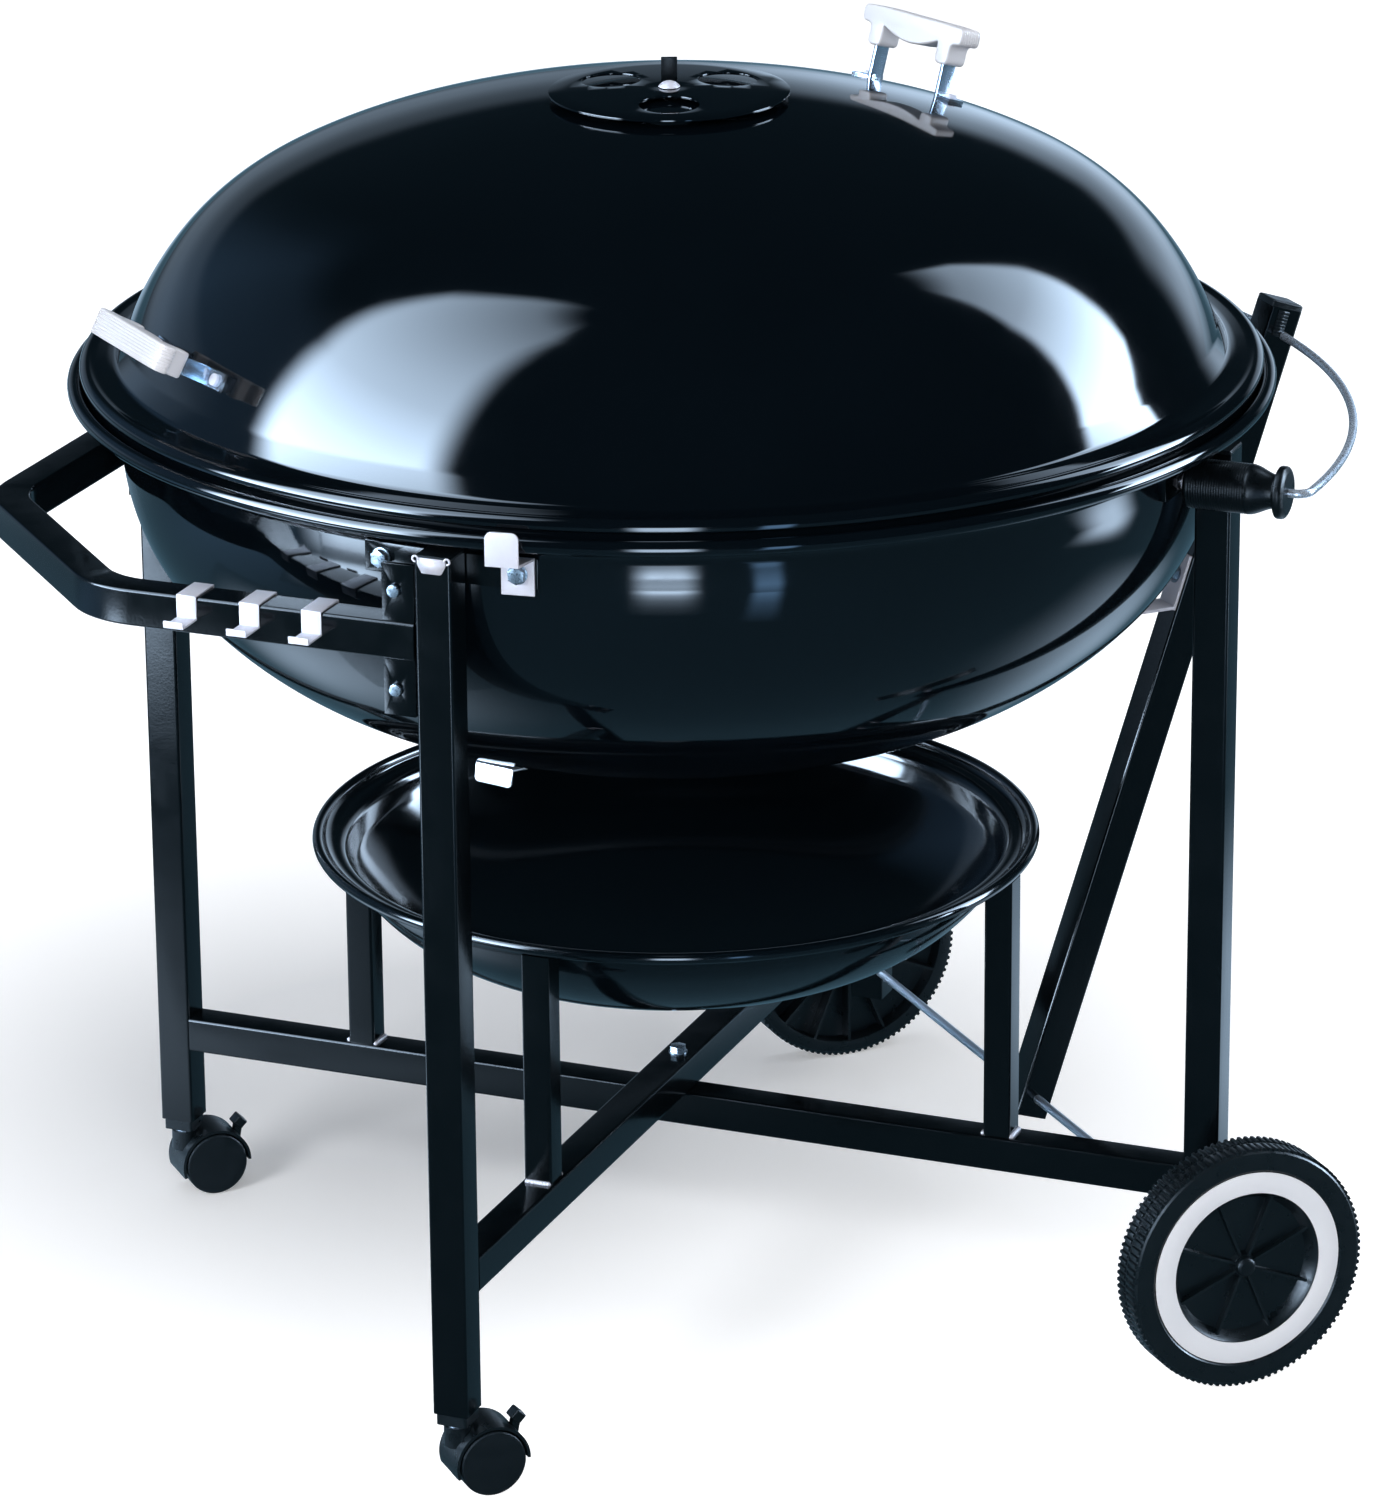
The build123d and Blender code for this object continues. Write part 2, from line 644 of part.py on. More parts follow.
def make_cross_tube(azimuth, low_z):
    length = 2 * LEG_R - TUBE
    laid = Rot(0, 90, 0) * tube(TUBE, length)
    return polar(azimuth, -length / 2, 0, low_z + TUBE / 2) * laid


def make_ash_post(name):
    foot = LOWER_CROSS_Z + TUBE if name in ("back_left", "front_right") else UPPER_CROSS_Z + TUBE
    return polar(LEG_AZIMUTHS[name], ASH_POST_R, 0, foot) * tube(ASH_POST, ASH_POST_TOP_Z - foot)


def make_ash_pan():
    bead_r = PAN_R - PAN_BEAD
    inner_r = PAN_WALL_R - SHEET
    rim = [
        (inner_r, PAN_FLANGE_Z),
        (inner_r, PAN_FLANGE_Z + SHEET),
        (bead_r, PAN_FLANGE_Z + SHEET),
        (bead_r, PAN_FLANGE_Z),
        (PAN_WALL_R, PAN_FLANGE_Z),
    ]
    edges = chain_edges(PAN_CHAIN, -1, 0.0) + [pole_line(PAN_CHAIN, -1)]
    edges += chain_edges(PAN_CHAIN, -1, SHEET) + Polyline(*upright(rim)).edges()
    return lathe(edges) + Pos(0, 0, PAN_FLANGE_Z + PAN_BEAD) * Torus(bead_r, PAN_BEAD)


def handle_path():
    """Centre line of the push handle, level, from the front leg round to the back leg."""
    out = (-HANDLE_R / sqrt(2), -HANDLE_R / sqrt(2))
    step = HANDLE_START / sqrt(2)
    start = (out[0] - step, out[1] + step, HANDLE_Z)
    corner_y = start[1] + (start[0] - HANDLE_END_X)
    front = (HANDLE_END_X, corner_y, HANDLE_Z)
    back = (HANDLE_END_X, -corner_y, HANDLE_Z)
    end = (start[0], -start[1], HANDLE_Z)
    return FilletPolyline(start, front, back, end, radius=HANDLE_BEND_R)


def make_push_handle():
    path = handle_path()
    section = Plane(origin=path @ 0, x_dir=(0, 0, 1), z_dir=path % 0) * tube_section(TUBE)
    return sweep(section, path=path)


def make_handle_plate(mirrored, low_r, inner_edge):
    """Plate with a notch round the handle's arm, beside a left leg."""
    side = 1 if mirrored else -1
    plate = block((low_r, inner_edge, FLANGE_LOW_Z), (low_r + FLANGE_SHEET, FLANGE_EDGE, FLANGE_HIGH_Z))
    notch = TUBE / 2 + 0.1
    plate -= block(
        (low_r - 1, HANDLE_START, HANDLE_Z - notch),
        (low_r + FLANGE_SHEET + 1, FLANGE_EDGE + 1, HANDLE_Z + notch),
    )
    for z in FLANGE_SCREW_Z:
        plate -= Pos(low_r, FLANGE_SCREW_SIDE, z) * Rot(0, 90, 0) * Cylinder(SCREW_R, 20)
    return plate if side > 0 else mirror(plate, Plane.XZ)


def make_handle_fittings():
    """Handle flanges, the leg lugs behind them, and the screws and nuts through both."""
    flanges = []
    lugs = []
    screws = []
    for name, mirrored in (("front_left", False), ("back_left", True)):
        place = Rot(0, 0, LEG_AZIMUTHS[name])
        flanges.append(place * make_handle_plate(mirrored, FLANGE_R, HANDLE_START))
        lugs.append(place * make_handle_plate(mirrored, FLANGE_R - FLANGE_SHEET, TUBE / 2))
        side = FLANGE_SCREW_SIDE if mirrored else -FLANGE_SCREW_SIDE
        for z in FLANGE_SCREW_Z:
            screw = disc(SCREW_HEAD_R, FLANGE_SHEET, FLANGE_SHEET + SCREW_HEAD)
            screw += disc(SCREW_R, -FLANGE_SHEET - 4.0, FLANGE_SHEET)
            screw += Pos(0, 0, -FLANGE_SHEET - 3.5) * hexagon(8.0, 3.5)
            screws.append(place * Pos(FLANGE_R, side, z) * Rot(0, 90, 0) * screw)
    return flanges, lugs, group(screws)


def make_tool_hook(place):
    """Strip bent over the arm's top and part way down its face, then out into an upturned hook."""
    back = HANDLE_R - TUBE / 2 - 0.05
    front = HANDLE_R + TUBE / 2 + 0.05
    top = HANDLE_Z + TUBE / 2 + 0.05
    low = top - HOOK_DROP
    sheet = HOOK_SHEET
    outline = [
        (back - sheet, top - 9.0),
        (back - sheet, top + sheet),
        (front + sheet, top + sheet),
        (front + sheet, low + sheet),
        (front + HOOK_REACH - sheet, low + sheet),
        (front + HOOK_REACH - sheet, low + HOOK_LIP),
        (front + HOOK_REACH, low + HOOK_LIP),
        (front + HOOK_REACH, low),
        (front, low),
        (front, top),
        (back, top),
        (back, top - 9.0),
    ]
    face = Face(Wire(Polyline(*upright(outline), close=True).edges()))
    strip = extrude(face, HOOK_WIDTH / 2, dir=(0, 1, 0), both=True)
    return polar(LEG_AZIMUTHS["front_left"], 0, -place) * strip


def post_frame():
    """Frame at the leaning post's foot: +Z along the post."""
    return Pos(AXLE_X, 0, AXLE_Z) * Rot(0, degrees(atan2(POST_LEAN_RUN, 1)), 0)


def post_length():
    return (POST_TOP_Z - AXLE_Z) * sqrt(1 + POST_LEAN_RUN**2)


def make_holder_post():
    post = post_frame() * Pos(0, 0, -POST_BELOW_AXLE) * tube(TUBE, post_length() + POST_BELOW_AXLE)
    post -= axle_hole(AXLE_R)
    post -= Pos(HOOP_R, 0, HOOP_Z) * Rot(90, 0, 0) * Cylinder(HOOP_ROD_R + 0.3, 80)
    return post - post_frame() * rest_bolt_place() * Rot(0, 90, 0) * Cylinder(BOLT_R, 4 * TUBE)


def make_post_cap():
    inside = TUBE - 2 * TUBE_WALL - 0.2
    cap = extrude(RectangleRounded(TUBE, TUBE, TUBE_CORNER), POST_CAP)
    cap = chamfer(cap.faces().sort_by(Axis.Z)[-1].edges(), 1.5)
    cap += extrude(RectangleRounded(inside, inside, 0.8), -10.0)
    return post_frame() * Pos(0, 0, post_length()) * cap


def rest_height():
    """Distance along the post to the lid rest."""
    return (REST_Z - AXLE_Z) * sqrt(1 + POST_LEAN_RUN**2)


def rest_bolt_place():
    return Pos(-TUBE / 2 - REST_SHEET, 0, rest_height() + REST_UPSTAND * 0.6)


def rest_bolt():
    """Hex bolt along +Z, its head on the lid rest and its nut on the post's far side."""
    bolt = disc(BOLT_R, -REST_SHEET - TUBE - NUT, WASHER) + disc(WASHER_R, 0, WASHER)
    bolt += Pos(0, 0, WASHER) * hexagon(BOLT_FLATS, BOLT_HEAD)
    return bolt + Pos(0, 0, -REST_SHEET - TUBE - NUT) * hexagon(BOLT_FLATS, NUT)


def make_lid_rest():
    """Angle on the post's kettle side: an upstand bolted to the post and a level shelf."""
    half = REST_WIDTH / 2
    face = -TUBE / 2
    upstand = block((face - REST_SHEET, -half, rest_height()), (face, half, rest_height() + REST_UPSTAND))
    rest = post_frame() * upstand
    edge = post_frame() * Pos(face - REST_SHEET, 0, rest_height())
    shelf_end = edge.position.X + 1.0
    shelf_z = edge.position.Z
    rest += block((shelf_end - REST_REACH, -half, shelf_z), (shelf_end, half, shelf_z + REST_SHEET))
    return rest - post_frame() * rest_bolt_place() * Rot(0, 90, 0) * Cylinder(BOLT_R, TUBE)


def hoop_path():
    """Rod line from inside the front grip, round the wheel side, into the back grip."""
    bend_side = GRIP_SIDE - HOOP_BEND_R
    bend_x = sqrt((HOOP_R - HOOP_BEND_R) ** 2 - bend_side**2)
    share = HOOP_R / (HOOP_R - HOOP_BEND_R)
    corner = ((bend_x + bend_x * share) / 2, -(GRIP_SIDE + bend_side * share) / 2)
    to_centre = (corner[0] - bend_x, corner[1] + bend_side)
    stretch = HOOP_BEND_R / sqrt(to_centre[0] ** 2 + to_centre[1] ** 2)
    local = [
        (GRIP_END - ROD_IN_GRIP, -GRIP_SIDE),
        (bend_x, -GRIP_SIDE),
        (bend_x + to_centre[0] * stretch, -bend_side + to_centre[1] * stretch),
        (bend_x * share, -bend_side * share),
    ]
    turn = radians(LEG_AZIMUTHS["front_right"])
    front = [
        (x * cos(turn) - y * sin(turn), x * sin(turn) + y * cos(turn), HOOP_Z) for x, y in local
    ]
    back = [(x, -y, z) for x, y, z in front]
    return Wire(
        [
            Line(front[0], front[1]),
            ThreePointArc(front[1], front[2], front[3]),
            ThreePointArc(front[3], (HOOP_R, 0, HOOP_Z), back[3]),
            ThreePointArc(back[3], back[2], back[1]),
            Line(back[1], back[0]),
        ]
    )


def make_lid_hoop():
    path = hoop_path()
    return sweep(Plane(origin=path @ 0, z_dir=path % 0) * Circle(HOOP_ROD_R), path=path)


def make_side_grip(name):
    """Barrel grip with a tapered neck and an end disc."""
    outline = [
        (0, GRIP_START),
        (GRIP_R - 2.0, GRIP_START),
        (GRIP_R, GRIP_START + 4.0),
        (GRIP_R, GRIP_BARREL_END),
        (GRIP_NECK_R, GRIP_NECK_END),
        (GRIP_DISC_R - 1.5, GRIP_NECK_END),
        (GRIP_DISC_R, GRIP_NECK_END + 2.0),
        (GRIP_DISC_R, GRIP_END - 3.0),
        (GRIP_DISC_R - 4.0, GRIP_END),
        (0, GRIP_END),
    ]
    grip = lathe_points(outline)
    grip -= disc(GRIP_STUD_R, GRIP_START - 1, GRIP_START + GRIP_STUD_IN)
    grip -= disc(HOOP_ROD_R, GRIP_END - ROD_IN_GRIP, GRIP_END + 1)
    return grip_frame(name) * Rot(0, 90, 0) * grip


def make_grip_stud(name):
    """Stud through the bowl's wall into a side grip, with a nut each side of the wall."""
    wall = sqrt(BOWL_WALL_R**2 - GRIP_SIDE**2)
    strap = sqrt((BOWL_WALL_R + BRACKET_SHEET) ** 2 - (GRIP_SIDE - BOLT_FLATS / 2) ** 2)
    stud = disc(GRIP_STUD_R, wall - 14.0, GRIP_START + GRIP_STUD_IN)
    stud += Pos(0, 0, strap + 0.1) * hexagon(BOLT_FLATS, GRIP_START - strap - 0.1)
    stud += Pos(0, 0, wall - SHEET - 9.0) * hexagon(BOLT_FLATS, NUT)
    return grip_frame(name) * Rot(0, 90, 0) * stud


def lug_ring(low, high, phase):
    """One row of tread lugs: a ring with square-shouldered teeth."""
    root = WHEEL_R - LUG_HEIGHT
    pitch = 360 / LUG_COUNT
    outline = []
    for i in range(LUG_COUNT):
        base = i * pitch + phase
        for share, radius in ((0.0, root), (0.12, WHEEL_R), (0.5, WHEEL_R), (0.62, root)):
            angle = radians(base + share * pitch)
            outline.append((radius * cos(angle), radius * sin(angle)))
    teeth = make_face(Polyline(*outline, close=True))
    return Pos(0, 0, low) * extrude(teeth - Circle(TYRE_IN_R + 2.0), high - low)


def make_wheel():
    """Wheel about +Z: the tread's inner edge is at 0 and the outer face at its width."""
    hub_low = HUB_INNER_Y - WHEEL_INNER_Y
    root = WHEEL_R - LUG_HEIGHT
    middle = WHEEL_WIDTH / 2
    body = [
        (AXLE_R + RUNNING_GAP, hub_low),
        (HUB_R, hub_low),
        (HUB_R, WEB_LOW),
        (TYRE_IN_R, WEB_LOW),
        (TYRE_IN_R, 0),
        (root - 2.0, 0),
        (root, 2.0),
        (root, WHEEL_WIDTH - 2.0),
        (root - 2.0, WHEEL_WIDTH),
        (RING_OUT_R + 2.0, WHEEL_WIDTH),
        (RING_OUT_R, FACE_HIGH),
        (RECESS_R, FACE_HIGH),
        (RECESS_FLOOR_R, WEB_HIGH),
        (HUB_R, WEB_HIGH),
        (HUB_R - 2.0, HUB_OUTER),
        (AXLE_R + RUNNING_GAP, HUB_OUTER),
    ]
    wheel = lathe_points(body)
    wheel += lug_ring(LUG_MARGIN, middle - LUG_GAP / 2, 0.0)
    wheel += lug_ring(middle + LUG_GAP / 2, WHEEL_WIDTH - LUG_MARGIN, 180 / LUG_COUNT)
    seam = disc(root + SEAM_HEIGHT, middle - SEAM_WIDTH / 2, middle + SEAM_WIDTH / 2)
    wheel += seam - disc(TYRE_IN_R + 2.0, 0, WHEEL_WIDTH)
    for i in range(SPOKE_COUNT):
        half = SPOKE_WIDTH / 2
        spoke = block((HUB_R - 3.0, -half, WEB_HIGH), (RECESS_R, half, SPOKE_HIGH))
        wheel += Rot(0, 0, (i + 0.5) * 360 / SPOKE_COUNT) * spoke
    for i in range(BACK_RIB_COUNT):
        rib_half = BACK_RIB_WIDTH / 2
        rib = block((HUB_R - 1.0, -rib_half, BACK_RIB_LOW), (TYRE_IN_R + 1, rib_half, WEB_LOW))
        wheel += Rot(0, 0, i * 360 / BACK_RIB_COUNT) * rib
    return wheel


def wheel_frame(side):
    """Frame of a wheel: +Z out of the grill. side is -1 at the front and 1 at the back."""
    return Pos(AXLE_X, side * WHEEL_INNER_Y, AXLE_Z) * Rot(-90 * side, 0, 0)


def make_wheel_ring():
    return disc(RING_OUT_R - 0.3, FACE_HIGH, RING_HIGH) - disc(RING_IN_R, FACE_HIGH - 1, RING_HIGH + 1)


def make_hub_cap():
    cap = disc(HUB_CAP_R, HUB_OUTER + 0.6, HUB_CAP_HIGH)
    cap = fillet(cap.faces().sort_by(Axis.Z)[-1].edges(), 4.0)
    return cap - disc(AXLE_R, 0, HUB_CAP_HIGH - 3.0)


def make_axle():
    half = WHEEL_INNER_Y + HUB_CAP_HIGH - 3.0
    return Pos(AXLE_X, 0, AXLE_Z) * Rot(90, 0, 0) * Cylinder(AXLE_R, 2 * half)


def make_spacer():
    """Washer stack on the axle between a leg's corner and the wheel's hub, in the wheel's frame."""
    corner = LEG_X + (TUBE / 2 - TUBE_CORNER) * sqrt(2) + TUBE_CORNER
    low = corner - WHEEL_INNER_Y + 0.1
    high = HUB_INNER_Y - WHEEL_INNER_Y - 0.4
    return disc(SPACER_R, low, high) - disc(AXLE_R, -40, 40)


def caster_frame(name):
    side = -1 if name == "front" else 1
    return Pos(-LEG_X, side * LEG_X, 0)


def caster_axle_place():
    return Pos(CASTER_TRAIL, 0, CASTER_WHEEL_R) * Rot(90, 0, 0)


def make_caster_socket():
    """Insert in a leg's foot, with a slightly smaller block below the tube and a bore for the stem."""
    inside = TUBE - 2 * TUBE_WALL - 0.1
    below = TUBE - 2 * SOCKET_INSET
    socket = extrude(RectangleRounded(below, below, TUBE_CORNER), -SOCKET_FLANGE)
    socket += extrude(RectangleRounded(inside, inside, 0.8), SOCKET_HIGH_Z - CASTER_LEG_FOOT_Z)
    socket -= Cylinder(STEM_R + RUNNING_GAP, 200)
    return Pos(0, 0, CASTER_LEG_FOOT_Z) * Rot(0, 0, 45) * socket


def make_caster_stem():
    collar_high = CASTER_LEG_FOOT_Z - SOCKET_FLANGE - 0.5
    return disc(STEM_R, STEM_LOW_Z, STEM_TOP_Z) + disc(STEM_COLLAR_R, HOOD_TOP_Z, collar_high)


def make_caster_hood():
    """Fender over the twin wheels, the web between them, the stem boss and the brake's slot and pin."""
    round_fender = Cylinder(HOOD_R, 2 * HOOD_HALF) - Cylinder(HOOD_IN_R, 2 * HOOD_HALF + 2)
    upper = block((-60, 0, -60), (60, 60, 60))
    back = block((-60, 0, -60), (0, 60, 60))
    fender = (round_fender & upper) + (round_fender & Rot(0, 0, HOOD_BACK_ANGLE) * back)
    web = Cylinder(HOOD_IN_R + 1.0, 2 * HOOD_WEB) & block((-60, HOOD_WEB_LOW, -60), (60, 60, 60))
    hood = caster_axle_place() * (fender + web)
    boss = disc(HOOD_BOSS_R, HOOD_BOSS_LOW_Z, HOOD_TOP_Z)
    boss -= caster_axle_place() * (
        Cylinder(HOOD_IN_R, 2 * HOOD_HALF + 2) - Cylinder(HOOD_IN_R + 1, 2 * HOOD_WEB)
    )
    hood += boss
    low_x, low_z = BRAKE_SLOT_LOW
    high_x, high_z = BRAKE_SLOT_HIGH
    axle = Pos(CASTER_TRAIL, 0, CASTER_WHEEL_R)
    hood -= axle * block((low_x, -BRAKE_SLOT_HALF, low_z), (high_x, BRAKE_SLOT_HALF, high_z))
    hood += brake_frame() * Rot(90, 0, 0) * Cylinder(BRAKE_PIN_R, 2 * HOOD_WEB)
    hood -= disc(STEM_R, STEM_LOW_Z, STEM_TOP_Z)
    return hood - caster_axle_place() * Cylinder(CASTER_AXLE_R, 100)


def make_caster_wheels():
    """Twin wheels with plain outer faces; the axle ends in a blind bore in each."""
    wheels = []
    bore = disc(CASTER_AXLE_R + RUNNING_GAP, 0, CASTER_AXLE_HALF + 0.4)
    for side in (0, 180):
        wheel = disc(CASTER_WHEEL_R, CASTER_WHEEL_IN, CASTER_WHEEL_OUT)
        wheel = fillet(wheel.edges(), CASTER_WHEEL_ROUND)
        wheels.append(caster_axle_place() * Rot(side, 0, 0) * (wheel - bore))
    return wheels


def make_caster_axle():
    return caster_axle_place() * Cylinder(CASTER_AXLE_R, 2 * CASTER_AXLE_HALF)


def brake_frame():
    """Frame at the brake lever's pin."""
    x, z = BRAKE_PIVOT
    return Pos(CASTER_TRAIL + x, 0, CASTER_WHEEL_R + z)


def make_brake_lever():
    """Barrel on the pin, a stalk up through the fender's slot, and a tilted foot pad."""
    run = BRAKE_HEAD[0] - BRAKE_PIVOT[0]
    rise = BRAKE_HEAD[1] - BRAKE_PIVOT[1]
    half = BRAKE_STALK / 2
    barrel = Rot(90, 0, 0) * Cylinder(BRAKE_BARREL_R, 2 * BRAKE_HALF)
    stalk = block((-half, -BRAKE_HALF, 0), (half, BRAKE_HALF, hypot(run, rise)))
    pad = fillet(Box(*BRAKE_HEAD_SIZE).edges(), 1.5)
    lever = barrel + Rot(0, degrees(atan2(run, rise)), 0) * stalk
    lever += Pos(run, 0, rise) * Rot(0, BRAKE_HEAD_TILT, 0) * pad
    lever -= Rot(90, 0, 0) * Cylinder(BRAKE_PIN_R + RUNNING_GAP, 40)
    return brake_frame() * lever


def make_lid_catch():
    """Plate bolted over a leg bracket, bent out under the rim and up outside it."""
    low = BOWL_WALL_R + BRACKET_SHEET + 0.1
    sheet = CATCH_SHEET
    outline = [
        (low, CATCH_LOW_Z),
        (low + sheet, CATCH_LOW_Z),
        (low + sheet, CATCH_STEP_Z - sheet),
        (CATCH_OUT_R + sheet, CATCH_STEP_Z + 6.0),
        (CATCH_OUT_R + sheet, CATCH_TOP_Z),
        (CATCH_OUT_R, CATCH_TOP_Z),
        (CATCH_OUT_R, CATCH_STEP_Z + 6.0 + sheet),
        (low, CATCH_STEP_Z),
    ]
    face = Face(Wire(Polyline(*upright(outline), close=True).edges()))
    plate = extrude(face, CATCH_WIDTH / 2, dir=(0, 1, 0), both=True)
    plate = fillet(plate.edges().filter_by(Axis.X).group_by(Axis.Z)[-1], CATCH_ROUND)
    plate -= Pos(low, 0, BRACKET_BOLT_Z) * Rot(0, 90, 0) * Cylinder(BOLT_R, 40)
    return Rot(0, 0, CATCH_AZIMUTH) * plate


def make_grate(radius, z, rod_r, pitch):
    """Round wire grate: an edge ring, parallel rods welded on top of it, and two tie rods under those."""
    ring_r = radius - GRATE_RING_R
    rod_z = GRATE_RING_R + rod_r
    count = int((ring_r - pitch / 2) / pitch)
    wires = [Torus(ring_r, GRATE_RING_R)]
    for i in range(-count, count + 1):
        half = sqrt(ring_r**2 - (i * pitch) ** 2)
        wires.append(Pos(i * pitch, 0, rod_z) * Rot(90, 0, 0) * Cylinder(rod_r, 2 * half))
    for side in (-0.5, 0.5):
        half = sqrt((ring_r - GRATE_RING_R) ** 2 - (side * ring_r) ** 2) - 4.0
        tie = Cylinder(rod_r, 2 * half)
        wires.append(Pos(0, side * ring_r, rod_z - 2 * rod_r) * Rot(0, 90, 0) * tie)
    return group(Pos(0, 0, z) * wire for wire in wires)


def make_grate_supports():
    """Small brackets on the bowl's wall under each grate."""
    cavity = bowl_cavity()
    half = GRATE_SUPPORT / 2
    supports = []
    for radius, grate_z in ((COOKING_GRATE_R, COOKING_GRATE_Z), (CHARCOAL_GRATE_R, CHARCOAL_GRATE_Z)):
        top = grate_z - GRATE_RING_R
        shelf = block((radius - 14.0, -half, top - 4.0), (BOWL_WALL_R, half, top))
        for azimuth in GRATE_SUPPORT_AZIMUTHS:
            supports.append((Rot(0, 0, azimuth) * shelf) & cavity)
    return group(supports)


def make_vent_plate():
    """Bowl damper in its vent's frame: a holed disc with a bent finger tab on its outer side."""
    plate = disc(VENT_PLATE_R, VENT_GAP, VENT_GAP + VENT_PLATE)
    half = VENT_TAB_WIDTH / 2
    reach = VENT_PLATE_R + VENT_TAB_LENGTH
    plate += block((VENT_PLATE_R - 15.0, -half, VENT_GAP), (reach, half, VENT_GAP + VENT_PLATE))
    tab = block((reach - VENT_PLATE, -half, VENT_GAP), (reach, half, VENT_GAP + VENT_TAB_DROP))
    plate += fillet(tab.edges().filter_by(Axis.X).group_by(Axis.Z)[-1], VENT_TAB_ROUND)
    plate -= Cylinder(VENT_RIVET_R + RUNNING_GAP, 20)
    for i in range(3):
        plate -= polar(120 * i, VENT_HOLE_RING_R) * Cylinder(VENT_HOLE_R + 1.0, 20)
    return plate


def make_vent_rivet():
    low = VENT_GAP + VENT_PLATE + 0.3
    rivet = disc(VENT_RIVET_R, -SHEET - 3.0, low + 1.0)
    rivet += disc(VENT_RIVET_HEAD_R, low, low + VENT_RIVET_HEAD)
    return rivet + disc(VENT_RIVET_HEAD_R, -SHEET - 3.2, -SHEET - 0.2)


def make_pieces():
    """Every node's shape, by node name."""
    pieces = {"bowl": make_bowl(), "lid": make_lid()}
    pieces["lid_damper"] = make_lid_damper()
    pieces["lid_damper_tab"] = make_lid_damper_tab(pieces["lid_damper"])
    pieces["lid_damper_rivet"] = make_lid_damper_rivet()
    straps = []
    screws = []
    for name, (radius, azimuth) in LID_HANDLES.items():
        pieces["lid_grip_" + name] = make_lid_grip(dome_frame(radius, azimuth))
        straps += [make_lid_strap(radius, azimuth, side) for side in (-1, 1)]
        screws += [make_lid_screw(radius, azimuth, side) for side in (-1, 1)]
    pieces["lid_handle_straps"] = group(straps)
    pieces["lid_handle_screws"] = group(screws)
    for name in LEG_AZIMUTHS:
        pieces["leg_" + name] = make_leg(name)
    pieces["leg_brackets"] = make_leg_brackets()
    pieces["leg_caps"] = group(make_leg_cap(azimuth) for azimuth in LEG_AZIMUTHS.values())
    pieces["ash_posts"] = group(make_ash_post(name) for name in LEG_AZIMUTHS)
    pieces["hex_bolts"] = make_bolts()
    pieces["cross_tube_lower"] = make_cross_tube(LEG_AZIMUTHS["front_right"], LOWER_CROSS_Z)
    pieces["cross_tube_upper"] = make_cross_tube(LEG_AZIMUTHS["back_right"], UPPER_CROSS_Z)
    pieces["ash_pan"] = make_ash_pan()
    pieces["push_handle"] = make_push_handle()
    flanges, lugs, pieces["handle_screws"] = make_handle_fittings()
    pieces["handle_flanges"] = group(flanges)
    pieces["leg_lugs"] = group(lugs)
    pieces["tool_hooks"] = group(make_tool_hook(place) for place in HOOK_PLACES)
    pieces["holder_post"] = make_holder_post()
    pieces["holder_post_cap"] = make_post_cap()
    pieces["lid_rest"] = make_lid_rest()
    pieces["lid_hoop"] = make_lid_hoop()
    for name in ("front", "back"):
        pieces["side_grip_" + name] = make_side_grip(name)
    pieces["side_grip_studs"] = group(make_grip_stud(name) for name in ("front", "back"))
    wheel = make_wheel()
    for name, side in (("front", -1), ("back", 1)):
        pieces["wheel_" + name] = wheel_frame(side) * wheel
        pieces["wheel_ring_" + name] = wheel_frame(side) * make_wheel_ring()
    pieces["hub_caps"] = group(wheel_frame(side) * make_hub_cap() for side in (-1, 1))
    pieces["axle_spacers"] = group(wheel_frame(side) * make_spacer() for side in (-1, 1))
    pieces["axle"] = make_axle()
    for name in ("front", "back"):
        frame = caster_frame(name)
        pieces[f"caster_{name}_socket"] = frame * make_caster_socket()
        pieces[f"caster_{name}_stem"] = frame * make_caster_stem()
        pieces[f"caster_{name}_hood"] = frame * make_caster_hood()
        pieces[f"caster_{name}_axle"] = frame * make_caster_axle()
        pieces[f"caster_{name}_wheels"] = group(frame * wheel for wheel in make_caster_wheels())
        pieces[f"caster_{name}_brake"] = frame * make_brake_lever()
    pieces["lid_catch"] = make_lid_catch()
    pieces["cooking_grate"] = make_grate(COOKING_GRATE_R, COOKING_GRATE_Z, COOKING_ROD_R, COOKING_PITCH)
    pieces["charcoal_grate"] = make_grate(
        CHARCOAL_GRATE_R, CHARCOAL_GRATE_Z, CHARCOAL_ROD_R, CHARCOAL_PITCH
    )
    pieces["grate_supports"] = make_grate_supports()
    for i, azimuth in enumerate(VENT_AZIMUTHS, start=1):
        pieces[f"bowl_damper_{i}"] = vent_frame(azimuth) * make_vent_plate()
    rivet = make_vent_rivet()
    pieces["bowl_damper_rivets"] = group(vent_frame(azimuth) * rivet for azimuth in VENT_AZIMUTHS)
    return pieces


os.makedirs("parts", exist_ok=True)
for node, shape in make_pieces().items():
    export_step(Pos(KETTLE_X, 0, 0) * shape, f"parts/{node}.step")
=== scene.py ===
import bmesh
import bpy
import json
from math import acos, atan2, ceil, cos, pi, radians, sin, sqrt
from mathutils import Matrix, Vector

